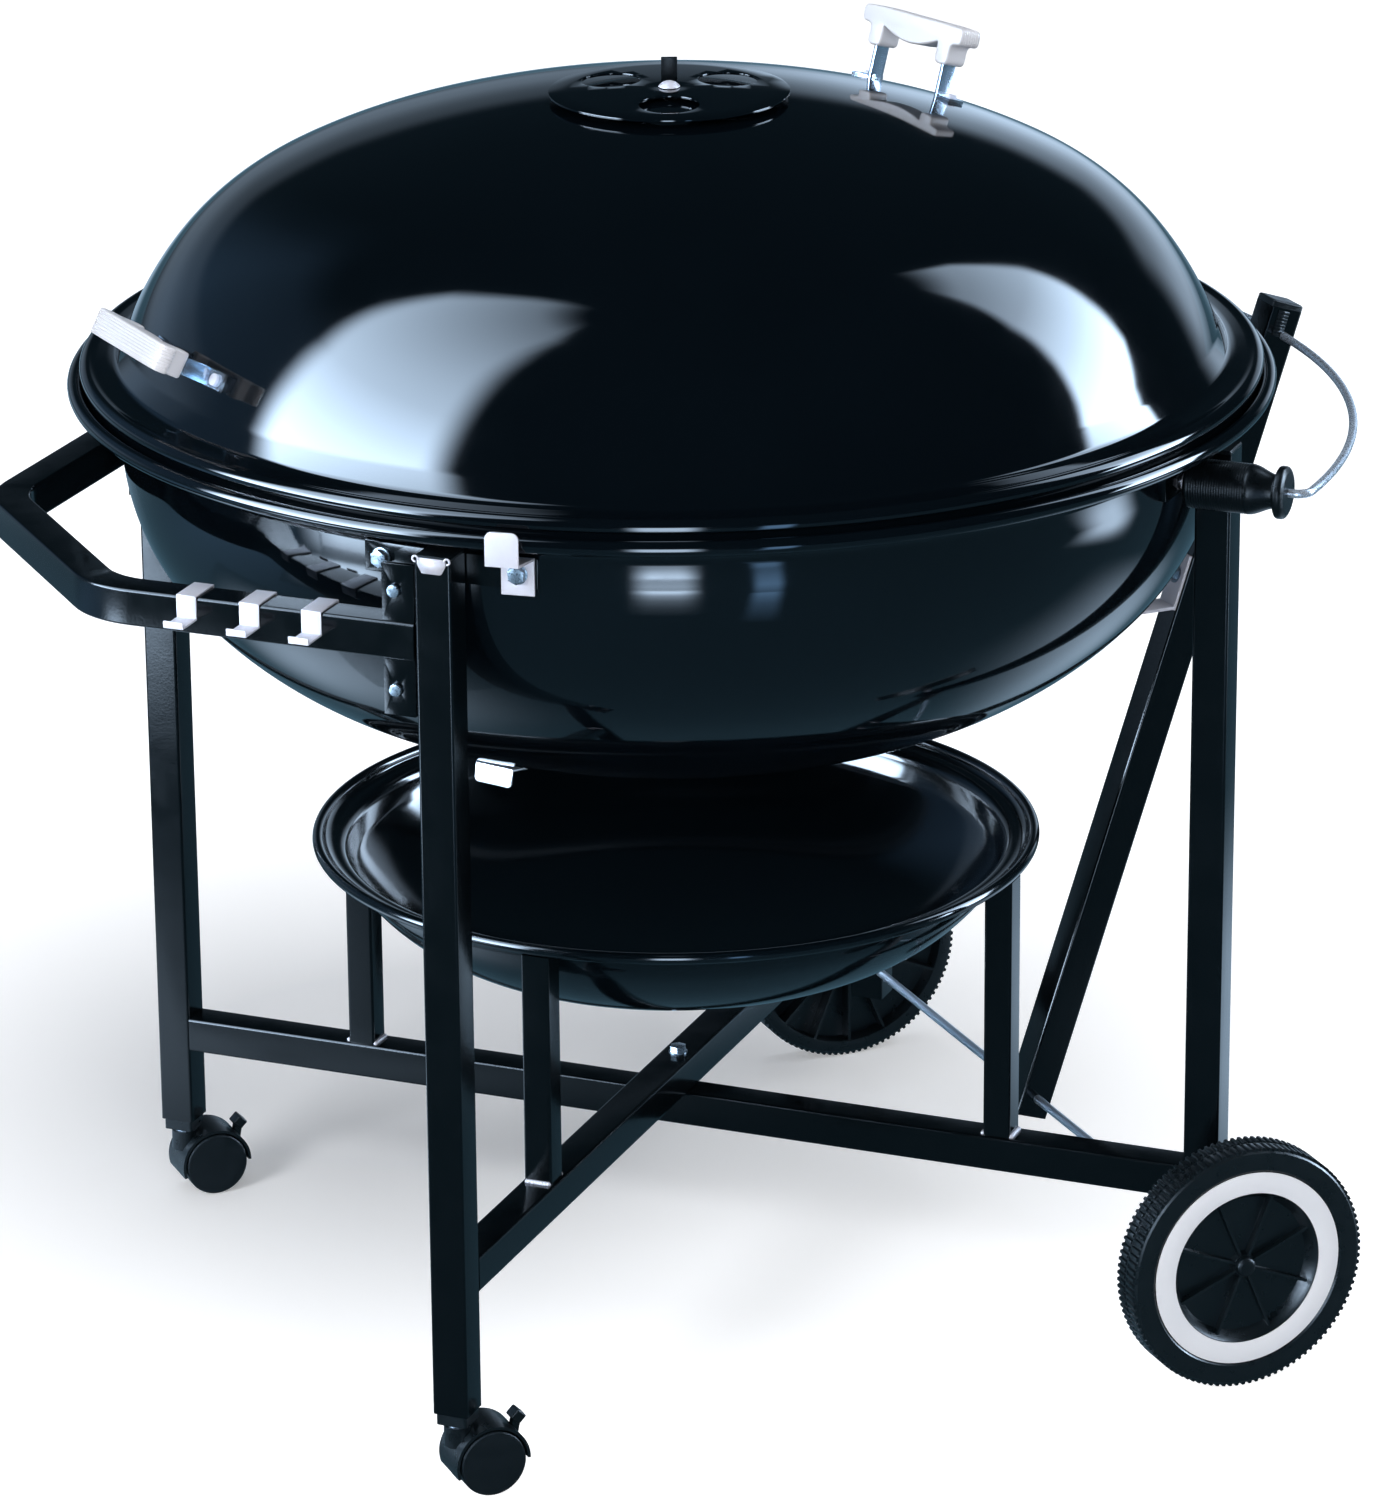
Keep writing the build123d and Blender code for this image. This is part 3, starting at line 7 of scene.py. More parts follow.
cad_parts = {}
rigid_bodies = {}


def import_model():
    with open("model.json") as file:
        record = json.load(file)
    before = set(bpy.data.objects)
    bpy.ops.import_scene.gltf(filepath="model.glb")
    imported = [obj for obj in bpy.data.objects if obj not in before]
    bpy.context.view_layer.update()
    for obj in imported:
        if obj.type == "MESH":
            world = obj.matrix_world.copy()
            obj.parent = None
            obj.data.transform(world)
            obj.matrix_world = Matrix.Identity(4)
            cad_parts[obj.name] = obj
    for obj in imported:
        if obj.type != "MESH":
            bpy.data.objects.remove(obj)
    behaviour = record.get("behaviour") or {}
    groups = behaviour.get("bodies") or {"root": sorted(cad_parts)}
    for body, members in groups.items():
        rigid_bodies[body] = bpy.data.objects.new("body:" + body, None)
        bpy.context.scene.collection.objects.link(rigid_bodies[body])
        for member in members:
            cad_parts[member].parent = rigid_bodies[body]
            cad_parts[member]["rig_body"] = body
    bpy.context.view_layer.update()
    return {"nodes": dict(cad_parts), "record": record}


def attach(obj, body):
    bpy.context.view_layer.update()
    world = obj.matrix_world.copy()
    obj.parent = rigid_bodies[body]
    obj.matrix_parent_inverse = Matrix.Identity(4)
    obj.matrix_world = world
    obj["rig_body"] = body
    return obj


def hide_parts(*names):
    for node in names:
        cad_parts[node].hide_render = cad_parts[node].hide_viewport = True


# Kettle charcoal grill, dressed in Blender. Metres, +Z up, +X from the push handle to the wheels.
# Places round the kettle are given by their radius from its upright axis and their azimuth.

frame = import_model()

# Kettle
KETTLE_X = -0.01432
RIM_R = 0.525
RIM_Z = 0.852
SHEET = 0.002
BOWL_WALL_R = 0.480
BOWL_WALL_Z = RIM_Z - 0.0404
BOWL_ARCS = ((0.2107, 42.5), (0.3496, 33.9))
BOWL_SHOULDER_Z = RIM_Z - 0.017
BOWL_FLANGE_R = 0.490
BOWL_FLANGE_Z = RIM_Z - 0.008
BOWL_CORNER = 0.006
BEAD = 0.0065
BEAD_Z = RIM_Z + 0.004
BEAD_SPAN = (-145, 190)
BEAD_FOOT = (0.82, 0.57)
DOME_FOOT_R = 0.473
DOME_FOOT_Z = RIM_Z + 0.044
DOME_FOOT_LEAN = 22.4
DOME_ARCS = ((0.2886, 15.95), (0.2306, 24.75), (0.4898, 9.79))
LID_GROOVE_R = 0.4825
LID_GROOVE_Z = RIM_Z + 0.0275
LID_GROOVE_WIDTH = 0.019
LID_GROOVE_DEPTH = 0.003
LID_GROOVE_UNDER = 0.005
LID_SLOPE = 0.006
LID_SLOPE_Z = RIM_Z + 0.026
LID_SKIRT_R = 0.514
LID_SKIRT_LOW_Z = RIM_Z + 0.0155
LID_SKIRT_HIGH_Z = RIM_Z + 0.0215
LID_LIP_R = 0.5105
LID_LIP_Z = RIM_Z + 0.0032
LID_CORNER = 0.004
LID_TOP_Z = RIM_Z + 0.24887
LID_BORE = 0.03
LID_HOLE_R = 0.025
DAMPER_HOLE_RING_R = 0.058
DAMPER_HOLE_AZIMUTH = -113.0
DAMPER_TURN = 60.0
DAMPER_HOLES = 3
VENT_R = 0.198
VENT_AZIMUTHS = (-147.0, -27.0, 93.0)
VENT_HOLE_R = 0.0135
VENT_HOLE_RING_R = 0.031
VENT_BORE = 0.02

# Ash pan
PAN_R = 0.324
PAN_WALL_R = 0.2955
PAN_ARCS = ((0.048, 38.0), (0.180, 35.0))
PAN_FLANGE_Z = 0.4215
PAN_BEAD = 0.005
PAN_BEAD_SPAN = (-110, 215)
PAN_CORNER = 0.006
PAN_SWEEP_R = 0.028
PAN_SWEEP_STEPS = 12
PAN_UNDER_POINT = 2
PAN_OVER_POINT = 5

# Camera, fitted to the photograph
CAMERA_AZIMUTH = -22.903
CAMERA_ELEVATION = 19.63
CAMERA_ROLL = -0.471
CAMERA_PLACE = (-2.2242, -5.2701, 2.5389)
CAMERA_LENS = 163.9
CAMERA_SENSOR = 36.0
CAMERA_REACH = 100.0

# Lid handles: (radius of the foot on the dome, azimuth)
LID_HANDLES = {"high": (0.268, 15.3), "low": (0.459, 185.0)}
LID_GRIP_HALF = 0.067
LID_GRIP_WIDTH = 0.023
LID_GRIP_LOW = 0.047
LID_GRIP_HIGH = 0.0635
LID_GRIP_ROUND = 0.006
LID_GRIP_BELLY = 0.038
LID_STUB_IN = 0.037
LID_STUB_OUT = 0.054
LID_STUB_LOW = 0.028
LID_GRIP_TAPER = 0.022
LID_GRIP_DROOP = 0.001
LID_GRIP_EDGE = 0.0022
LID_GRIP_RIBS = 7
LID_GRIP_GROOVE = 0.0009
LID_GRIP_PLAIN = 0.003
LID_GRIP_EDGE_TURNS = (0, 25, 50, 75)
LID_GRIP_RIB_STEPS = 6
LID_GRIP_RIB_SHAPE = 0.6
LID_GRIP_TOP_FACING = 0.3
BELLY_STEPS = 8

# Lid holder
HOOP_Z = 0.816
GRIP_SIDE = 0.043
GRIP_START = 0.487
GRIP_BARREL_END = 0.541
GRIP_NECK_END = 0.566
GRIP_END = 0.575
GRIP_R = 0.0215
GRIP_NECK_R = 0.014
GRIP_DISC_R = 0.0225
GRIP_EDGE = ((0.003, 0.0), (0.0008, 0.0012))
GRIP_PLAIN = 0.004
GRIP_RINGS = 22
GRIP_GROOVE = 0.0006
GRIP_NECK_STEPS = 8
GRIP_NECK_FLARE = 0.001
GRIP_DISC_EDGE = 0.0025
GRIP_DISC_BEVEL = 0.005
GRIP_DISC_ROUND = 0.002
GRIP_STEPS = 72
POST_LEAN = atan2(1.0, 3.0)
POST_TOP_Z = 0.840
POST_CAP = 0.006
CAP_RIBS = 3
CAP_RIB_HALF = 0.0003
CAP_RIB_DEPTH = 0.0005
CAP_TOP = ((0.0004, 0.0008), (0.0014, 0.0001), (0.004, 0.0))
TONGUE_LOW = -0.024
TONGUE_GAP = 0.002
TONGUE_RIBS = 8
TONGUE_RIB = 0.0007
TONGUE_SHEET = 0.0006
TONGUE_SIDES = (-0.0085, 0.0025)
TONGUE_SUNK = 0.0003
AXLE_Z = 0.1115

# Frame
TUBE = 0.03175
TUBE_CORNER = 0.0025
LEG_R = 0.4995
LEG_TOP_Z = 0.835
LEG_AZIMUTHS = {"front_left": -135.0, "back_left": 135.0, "front_right": -45.0, "back_right": 45.0}
ASH_POST = 0.0254
ASH_POST_R = 0.309
LOWER_CROSS_TOP_Z = 0.148 + TUBE
UPPER_CROSS_TOP_Z = LOWER_CROSS_TOP_Z + TUBE
WELD_R = 0.0024
WELD_HALF = 0.012
WELD_OUT = 0.0004
WELD_RISE = 0.0008
WELD_STEPS = 36
WELD_RIPPLE = 0.22
WELD_RIPPLE_STEPS = 4.5
WELD_TIP = 0.4
WELD_TIP_RISE = 0.3
CLIP_OUTLINE = ((0.0, 0.0015), (0.0125, 0.0015), (0.0125, -0.004), (0.0085, -0.0115), (0.0, -0.0115))
CLIP_CORNER = 0.0015
CLIP_SHEET = 0.0012
CLIP_CURL_R = 0.0024
CLIP_CURL_SIDE = 0.0140
CLIP_CURL_RISE = 0.0004
CLIP_CURL_SPAN = (-100, 190)
CLIP_CURL_STEPS = 12
CLIP_WIRE_R = 0.0009
CONTACT_GAP = 0.0001

# Finishes, with noises in cells per metre
ENAMEL_LOW = (0.0010, 0.0022, 0.0036)
ENAMEL_HIGH = (0.0015, 0.0032, 0.0052)
ASH_LOW = (0.0012, 0.0030, 0.0048)
ASH_HIGH = (0.0016, 0.0038, 0.0060)
BLACK_LOW = (0.0022, 0.0042, 0.0056)
BLACK_HIGH = (0.0036, 0.0064, 0.0082)
BLACK_GRIP_LOW = (0.0012, 0.0022, 0.0030)
BLACK_GRIP_HIGH = (0.0020, 0.0034, 0.0044)
PAINT_LOW = (0.0008, 0.0018, 0.0026)
PAINT_HIGH = (0.0013, 0.0026, 0.0036)
NOISE_MIDDLE = (0.3, 0.7)
COAT_CLOUDS = 9.0
COAT_SMEARS = 35.0
COAT_RELIEF = 0.001
METAL_CLOUDS = 60.0
METAL_GRAIN = 700.0
METAL_RELIEF = 0.0004
METAL_BUMP = 0.03
PLASTIC_CLOUDS = 25.0
PLASTIC_SMEARS = 90.0
PLASTIC_RELIEF = 0.0005
FLOOR_CLOUDS = 2.0

# Nodes whose finish isn't their slot's own
NODE_FINISHES = {
    "lid_handle_straps": "strap_zinc",
    "hex_bolts": "bolt_steel",
    "handle_screws": "bolt_steel",
}

# Widths of the small bevels that break a node's hard edges
BROKEN_EDGES = {
    "tool_hooks": 0.0005,
    "lid_catch": 0.0006,
    "lid_rest": 0.0006,
    "lid_handle_straps": 0.0006,
    "lid_damper": 0.0005,
    "lid_damper_tab": 0.0006,
    "handle_flanges": 0.0006,
    "leg_lugs": 0.0006,
    "leg_brackets": 0.0006,
    "hex_bolts": 0.0005,
    "lid_handle_screws": 0.0004,
    "handle_screws": 0.0006,
    "bowl_damper_1": 0.0004,
    "bowl_damper_2": 0.0004,
    "bowl_damper_3": 0.0004,
    "wheel_front": 0.0004,
    "wheel_back": 0.0004,
    "wheel_ring_front": 0.0003,
    "wheel_ring_back": 0.0003,
}

# Studio
SKY_CENTRE = (0.0, 0.0, 0.9)
SKY_R = 8.0
SKY_COLUMNS = 12
FILL_SKY = ((0.80, 0.88, 1.0), 0.26)
MIRROR_SKY = ((0.35, 0.70, 1.0), 0.03)
WHITE_SKY = ((1.0, 1.0, 1.0), 1.0)
# Camera-ray glow of the floor: low round a spot behind the object and rising outwards, a painted shadow
# there on top of the lit shadows.
FLOOR_GLOW_IN_PAINTED_SHADOW = 0.12
FLOOR_GLOW_OUT_OF_PAINTED_SHADOW = 0.85
PAINTED_SHADOW_CENTRE = (-0.05, 0.55)
PAINTED_SHADOW_INNER_R = 0.25
PAINTED_SHADOW_OUTER_R = 0.95
FLOOR_MIRROR = (0.07, 0.15, 0.21)
CARD_COLOUR = (0.60, 0.78, 1.0)
BLUE_CARD = (0.30, 0.58, 1.0)
FLOOR_HALF = 12
FLOOR_Z = -0.0005
FLOOR_LOW = (0.84, 0.85, 0.87)
FLOOR_HIGH = (0.87, 0.88, 0.90)
FLOOR_CARD_Z = 0.002
FLOOR_CARD_STEPS = 4
FLOOR_CARD_SOFT = (0.45, 0.45)
STREAK_Z = 0.003
STREAK_SOFT = (0.35, 0.05)
STREAK_SIDES = (1.0, 0.5, 0.0, -0.5, -1.0)
STANDING_SHARES = (-0.12, 0.2, 0.6, 1.0)
STANDING_SOFT = (0.3, 0.3)

# Rows of the light cards on a far sphere: elevation, first azimuth, last azimuth, glow
LEFT_CARD = (
    (-5, -118, -66, 42.0),
    (4, -118, -66, 42.0),
    (15, -119, -67, 38.0),
    (27, -122, -68, 26.0),
    (38, -126, -68.6, 17.0),
    (50, -138, -69.5, 12.5),
    (61, -153, -71, 8.5),
    (71, -158, -75, 5.0),
    (80, -150, -100, 2.0),
)
RIGHT_CARD = (
    (-5, 60, 86, 38.0),
    (3, 62, 87, 38.0),
    (11, 66, 89, 34.0),
    (18, 69, 96, 28.0),
    (28, 72.5, 101, 18.0),
    (41, 77, 112, 8.0),
    (50, 86, 118, 5.0),
    (58, 100, 117, 3.0),
)
BACK_CARD = (
    (-6, 140, 235, 0.35),
    (4, 140, 235, 0.35),
    (9, 140, 235, 0.2),
    (16, 140, 235, 0.1),
)
BACK_RIGHT_CARD = (
    (-8, 112, 160, 1.6),
    (2, 112, 160, 1.4),
    (9, 114, 158, 0.8),
    (16, 116, 156, 0.3),
)
BACK_LEFT_CARD = (
    (-6, -185, -96, 0.24),
    (10, -185, -98, 0.24),
    (28, -180, -102, 0.24),
    (46, -175, -106, 0.16),
)

# Cards on the sphere: name, rows, colour, shares of the width and height over which the edges fade
SKY_CARDS = (
    ("left_card", LEFT_CARD, CARD_COLOUR, (0.18, 0.1)),
    ("right_card", RIGHT_CARD, CARD_COLOUR, (0.14, 0.12)),
    ("back_card", BACK_CARD, CARD_COLOUR, (0.2, 0.2)),
    ("back_right_card", BACK_RIGHT_CARD, CARD_COLOUR, (0.25, 0.25)),
    ("back_left_card", BACK_LEFT_CARD, BLUE_CARD, (0.3, 0.2)),
)

# Patches on the floor: name, low corner, high corner, glow, colour
FLOOR_CARDS = (
    ("left_floor", (-5.0, -0.6), (-0.6, 2.5), 0.6, BLUE_CARD),
    ("back_floor", (-4.0, 1.6), (4.5, 7.0), 0.5, CARD_COLOUR),
    ("left_near", (-1.4, -0.4), (-0.25, 1.0), 2.4, CARD_COLOUR),
    ("left_pool", (-3.0, -0.75), (-1.6, 0.45), 17.0, CARD_COLOUR),
    ("right_near", (0.4, -0.7), (1.7, 0.7), 1.4, CARD_COLOUR),
    ("right_pool", (1.9, -1.35), (3.3, -0.4), 9.0, CARD_COLOUR),
)

# Strips on the floor: name, near end, far end, widths there, glows from near to far, colour
FLOOR_STREAKS = (
    ("front_pool", (-0.72, -1.55), (-1.10, -2.42), (0.50, 0.68), (0.0, 0.8, 2.5, 7.0, 26.0), CARD_COLOUR),
    ("blue_pool", (-0.20, -1.50), (-0.25, -2.46), (0.24, 0.32), (0.0, 0.8, 1.6, 3.0, 5.0), BLUE_CARD),
)

# Upright cards: name, left foot, right foot, height, glow, colour
STANDING_CARDS = (
    ("front_card", (-1.40, -2.25), (-0.78, -2.52), 1.7, 15.0, CARD_COLOUR),
    ("blue_card", (-0.40, -2.46), (-0.09, -2.46), 1.2, 5.0, BLUE_CARD),
)

# Lamps: name, place, aim, size, watts
LAMPS = (
    ("key", (-4.2, -2.0, 3.2), (0, 0, 0.5), 1.8, 135.0),
    ("fill", (3.5, -2.0, 3.5), (0, 0, 0.5), 3.0, 55.0),
    ("front", (-1.5, -5.0, 2.5), (0, 0, 0.5), 3.0, 95.0),
    ("top", (0.0, 0.5, 5.0), (0, 0, 0), 4.0, 40.0),
)

# Meshes
LATHE_STEPS = 256
HOLE_STEPS = 48
TUBE_CORNER_STEPS = 4
CORNER_REACH = 0.45
OUTSIDE_STEP = 0.005
INSIDE_STEP = 0.012
TINY = 1e-6
BEVEL_ANGLE = 40
SPLIT_ANGLE = 32
KETTLE_AXIS = Matrix.Translation((KETTLE_X, 0, 0))


# Round sheet metal


def arc_chain(r, z, lean, arcs, up):
    """Tangent arcs of a round sheet profile, from its side to its pole on the axis."""
    angle = radians(lean)
    chain = []
    for radius, turn in arcs:
        centre = (r - radius * cos(angle), z - up * radius * sin(angle))
        chain.append((centre, radius, angle, angle + radians(turn)))
        angle += radians(turn)
        r = centre[0] + radius * cos(angle)
        z = centre[1] + up * radius * sin(angle)
    crown = r / cos(angle)
    chain.append(((0.0, z - up * crown * sin(angle)), crown, angle, radians(90)))
    return chain


def chain_points(chain, up, inset, step):
    """(r, z) points along the chain, moved towards the arcs' centres by inset."""
    points = []
    for (centre_r, centre_z), radius, first, last in chain:
        count = max(2, ceil((last - first) * radius / step))
        for i in range(count + 1):
            angle = first + (last - first) * i / count
            r = max(0.0, centre_r + (radius - inset) * cos(angle))
            z = centre_z + up * (radius - inset) * sin(angle)
            if not points or (Vector((r, z)) - Vector(points[-1])).length > TINY:
                points.append((r, z))
    points[-1] = (0.0, points[-1][1])
    return points


def rounded(points, radius, steps=4):
    """The same line with each inner corner rounded."""
    line = [points[0]]
    for before, corner, after in zip(points, points[1:], points[2:]):
        here = Vector(corner)
        back = Vector(before) - here
        ahead = Vector(after) - here
        reach = min(radius, back.length * CORNER_REACH, ahead.length * CORNER_REACH)
        start = here + back.normalized() * reach
        end = here + ahead.normalized() * reach
        for i in range(steps + 1):
            t = i / steps
            point = start * (1 - t) ** 2 + here * 2 * t * (1 - t) + end * t**2
            line.append((point.x, point.y))
    line.append(points[-1])
    return line


def add_mesh(name, build):
    """New object with the mesh that build fills."""
    work = bmesh.new()
    build(work)
    bmesh.ops.recalc_face_normals(work, faces=work.faces)
    mesh = bpy.data.meshes.new(name)
    work.to_mesh(mesh)
    work.free()
    mesh.shade_smooth()
    piece = bpy.data.objects.new(name, mesh)
    bpy.context.scene.collection.objects.link(piece)
    return piece


def lathe(name, profile, closed, place=KETTLE_AXIS, steps=LATHE_STEPS):
    """Turn (r, z) points about the Z axis of a frame."""

    def build(work):
        rings = []
        for r, z in profile:
            count = 1 if r < TINY else steps
            ring = []
            for i in range(count):
                angle = 2 * pi * i / steps
                ring.append(work.verts.new(place @ Vector((r * cos(angle), r * sin(angle), z))))
            rings.append(ring)
        pairs = list(zip(rings, rings[1:]))
        if closed:
            pairs.append((rings[-1], rings[0]))
        for low, high in pairs:
            for i in range(steps):
                j = (i + 1) % steps
                loop = [low[i % len(low)], low[j % len(low)], high[j % len(high)], high[i % len(high)]]
                corners = list(dict.fromkeys(loop))
                if len(corners) > 2:
                    work.faces.new(corners)

    return add_mesh(name, build)


def bored(piece, places, radius, depth):
    """Cut round holes; places are frames whose +Z runs along the hole."""

    def build(work):
        for place in places:
            matrix = place @ Matrix.Diagonal((radius, radius, depth, 1.0))
            bmesh.ops.create_cone(
                work, cap_ends=True, segments=HOLE_STEPS, radius1=1, radius2=1, depth=2, matrix=matrix
            )

    cutter = add_mesh("cutter", build)
    bore = piece.modifiers.new("bore", "BOOLEAN")
    bore.object = cutter
    bore.solver = "EXACT"
    bpy.context.view_layer.update()
    shaped = piece.evaluated_get(bpy.context.evaluated_depsgraph_get())
    mesh = bpy.data.meshes.new_from_object(shaped)
    piece.modifiers.clear()
    piece.data = mesh
    bpy.data.objects.remove(cutter)


BOWL_CHAIN = arc_chain(BOWL_WALL_R, BOWL_WALL_Z, 0.0, BOWL_ARCS, -1)
DOME_CHAIN = arc_chain(DOME_FOOT_R, DOME_FOOT_Z, DOME_FOOT_LEAN, DOME_ARCS, 1)
PAN_CHAIN = arc_chain(PAN_WALL_R, PAN_FLANGE_Z, 0.0, PAN_ARCS, -1)


def chain_place(chain, up, r):
    """Height of the profile at a radius, and the angle of its normal from level."""
    for (centre_r, centre_z), radius, first, last in chain:
        angle = acos(max(-1.0, min(1.0, (r - centre_r) / radius)))
        if first - TINY <= angle <= last + TINY:
            return centre_z + up * radius * sin(angle), angle
    raise ValueError("radius is off the profile")


def turned(azimuth, radius, z):
    """Frame at a polar place about the kettle's axis, +X outwards."""
    return KETTLE_AXIS @ Matrix.Rotation(radians(azimuth), 4, "Z") @ Matrix.Translation((radius, 0, z))


def bead_arc(r, z, radius, first, last, steps=18):
    """Points round a rolled bead, from one angle to another, in degrees from outwards."""
    points = []
    for i in range(steps + 1):
        angle = radians(first + (last - first) * i / steps)
        points.append((r + radius * cos(angle), z + radius * sin(angle)))
    return points


def make_lid():
    """Dome with a groove round its foot, a skirt, a lip and three damper holes."""
    outside = chain_points(DOME_CHAIN, 1, 0.0, OUTSIDE_STEP)
    inside = chain_points(DOME_CHAIN, 1, SHEET, INSIDE_STEP)
    lip_in = LID_LIP_R - SHEET
    skirt = rounded(
        [
            outside[1],
            outside[0],
            (LID_GROOVE_R, LID_GROOVE_Z),
            (LID_GROOVE_R + LID_SLOPE, LID_GROOVE_Z - SHEET),
            (LID_GROOVE_R + LID_GROOVE_WIDTH, LID_GROOVE_Z - LID_GROOVE_DEPTH),
            (LID_SKIRT_R - LID_SLOPE, LID_SLOPE_Z),
            (LID_SKIRT_R, LID_SKIRT_HIGH_Z),
            (LID_SKIRT_R, LID_SKIRT_LOW_Z),
            (LID_LIP_R, LID_SKIRT_LOW_Z),
            (LID_LIP_R, LID_LIP_Z),
            (lip_in, LID_LIP_Z),
            (lip_in, LID_SKIRT_HIGH_Z + SHEET),
            (LID_GROOVE_R + LID_GROOVE_UNDER, LID_GROOVE_Z - 2 * SHEET),
            (LID_GROOVE_R - SHEET * 0.75, LID_GROOVE_Z - SHEET * 0.5),
            inside[0],
        ],
        LID_CORNER,
    )
    lid = lathe("lid_shell", outside[:1:-1] + skirt + inside[1:], True)
    holes = []
    for i in range(DAMPER_HOLES):
        azimuth = DAMPER_HOLE_AZIMUTH + DAMPER_TURN + 360 * i / DAMPER_HOLES
        holes.append(turned(azimuth, DAMPER_HOLE_RING_R, LID_TOP_Z))
    bored(lid, holes, LID_HOLE_R, LID_BORE)
    return lid


def make_bowl():
    """Bowl with a flange, a rolled bead and the holes of its three dampers."""
    outside = chain_points(BOWL_CHAIN, -1, 0.0, OUTSIDE_STEP)
    inside = chain_points(BOWL_CHAIN, -1, SHEET, INSIDE_STEP)
    bead_r = RIM_R - BEAD
    wall_in = BOWL_WALL_R - SHEET
    outer_rim = rounded(
        [
            outside[0],
            (BOWL_WALL_R, BOWL_SHOULDER_Z),
            (BOWL_FLANGE_R, BOWL_FLANGE_Z),
            (bead_r - BEAD * BEAD_FOOT[0], BEAD_Z - BEAD * BEAD_FOOT[1]),
        ],
        BOWL_CORNER,
    )
    bead = bead_arc(bead_r, BEAD_Z, BEAD, *BEAD_SPAN)
    inner_rim = rounded(
        [
            bead[-1],
            (BOWL_FLANGE_R - SHEET * 0.5, BOWL_FLANGE_Z + SHEET * 1.2),
            (wall_in, BOWL_SHOULDER_Z),
            inside[0],
        ],
        BOWL_CORNER,
    )
    bowl = lathe("bowl_shell", outside[:0:-1] + outer_rim + bead + inner_rim[1:] + inside[1:], True)
    z, angle = chain_place(BOWL_CHAIN, -1, VENT_R)
    holes = []
    for azimuth in VENT_AZIMUTHS:
        vent = turned(azimuth, VENT_R, z) @ Matrix.Rotation(angle - radians(90), 4, "Y")
        for i in range(DAMPER_HOLES):
            around = Matrix.Rotation(radians(DAMPER_TURN + 360 * i / DAMPER_HOLES), 4, "Z")
            holes.append(vent @ around @ Matrix.Translation((VENT_HOLE_RING_R, 0, 0)))
    bored(bowl, holes, VENT_HOLE_R, VENT_BORE)
    return bowl


def make_ash_pan():
    """Shallow pan with a flange and a rolled bead; its wall gives up a few points to the corners."""
    outside = chain_points(PAN_CHAIN, -1, 0.0, OUTSIDE_STEP)
    inside = chain_points(PAN_CHAIN, -1, SHEET, OUTSIDE_STEP)
    bead_r = PAN_R - PAN_BEAD
    flange = [outside[PAN_UNDER_POINT], (PAN_WALL_R, PAN_FLANGE_Z), (bead_r - SHEET, PAN_FLANGE_Z)]
    under = rounded(flange, PAN_CORNER)
    bead = bead_arc(bead_r, PAN_FLANGE_Z + PAN_BEAD, PAN_BEAD, *PAN_BEAD_SPAN)
    slope = [bead[-1], (inside[0][0], PAN_FLANGE_Z + SHEET), inside[PAN_OVER_POINT]]
    over = rounded(slope, PAN_SWEEP_R, PAN_SWEEP_STEPS)
    outer = outside[:PAN_UNDER_POINT:-1] + under
    inner = over[1:] + inside[PAN_OVER_POINT + 1 :]
    return lathe("ash_pan_shell", outer + bead + inner, True)


# Moulded grips and small fittings


def stacked(work, rings):
    """Skin a stack of rings that have the same number of points, with both ends closed."""
    made = [[work.verts.new(point) for point in ring] for ring in rings]
    for low, high in zip(made, made[1:]):
        for i in range(len(low)):
            j = (i + 1) % len(low)
            work.faces.new((low[i], low[j], high[j], high[i]))
    work.faces.new(made[0])
    work.faces.new(made[-1])


def wire_rings(points, across, radii, sides=12):
    """Round sections along a flat line of points; across is the direction out of its plane."""
    rings = []
    for i, point in enumerate(points):
        ahead = points[min(i + 1, len(points) - 1)] - points[max(i - 1, 0)]
        beside = ahead.cross(across).normalized()
        ring = []
        for k in range(sides):
            angle = 2 * pi * k / sides
            ring.append(point + (beside * cos(angle) + across * sin(angle)) * radii[i])
        rings.append(ring)
    return rings


def lid_grip_outline():
    """Side view of a lid grip, from the middle of its belly round to the same place."""
    half = []
    for i in range(BELLY_STEPS + 1):
        share = i / BELLY_STEPS
        half.append((LID_STUB_IN * share, LID_GRIP_BELLY + (LID_GRIP_LOW - LID_GRIP_BELLY) * share**2))
    half += [
        (LID_STUB_IN, LID_STUB_LOW),
        (LID_STUB_OUT, LID_STUB_LOW),
        (LID_STUB_OUT, LID_GRIP_LOW),
        (LID_GRIP_HALF, LID_GRIP_LOW),
        (LID_GRIP_HALF, LID_GRIP_HIGH - LID_GRIP_DROOP),
        (LID_GRIP_HALF - LID_GRIP_TAPER, LID_GRIP_HIGH),
        (0.0, LID_GRIP_HIGH),
    ]
    side = rounded(half, LID_GRIP_ROUND)
    return side + [(-x, z) for x, z in reversed(side[1:-1])]


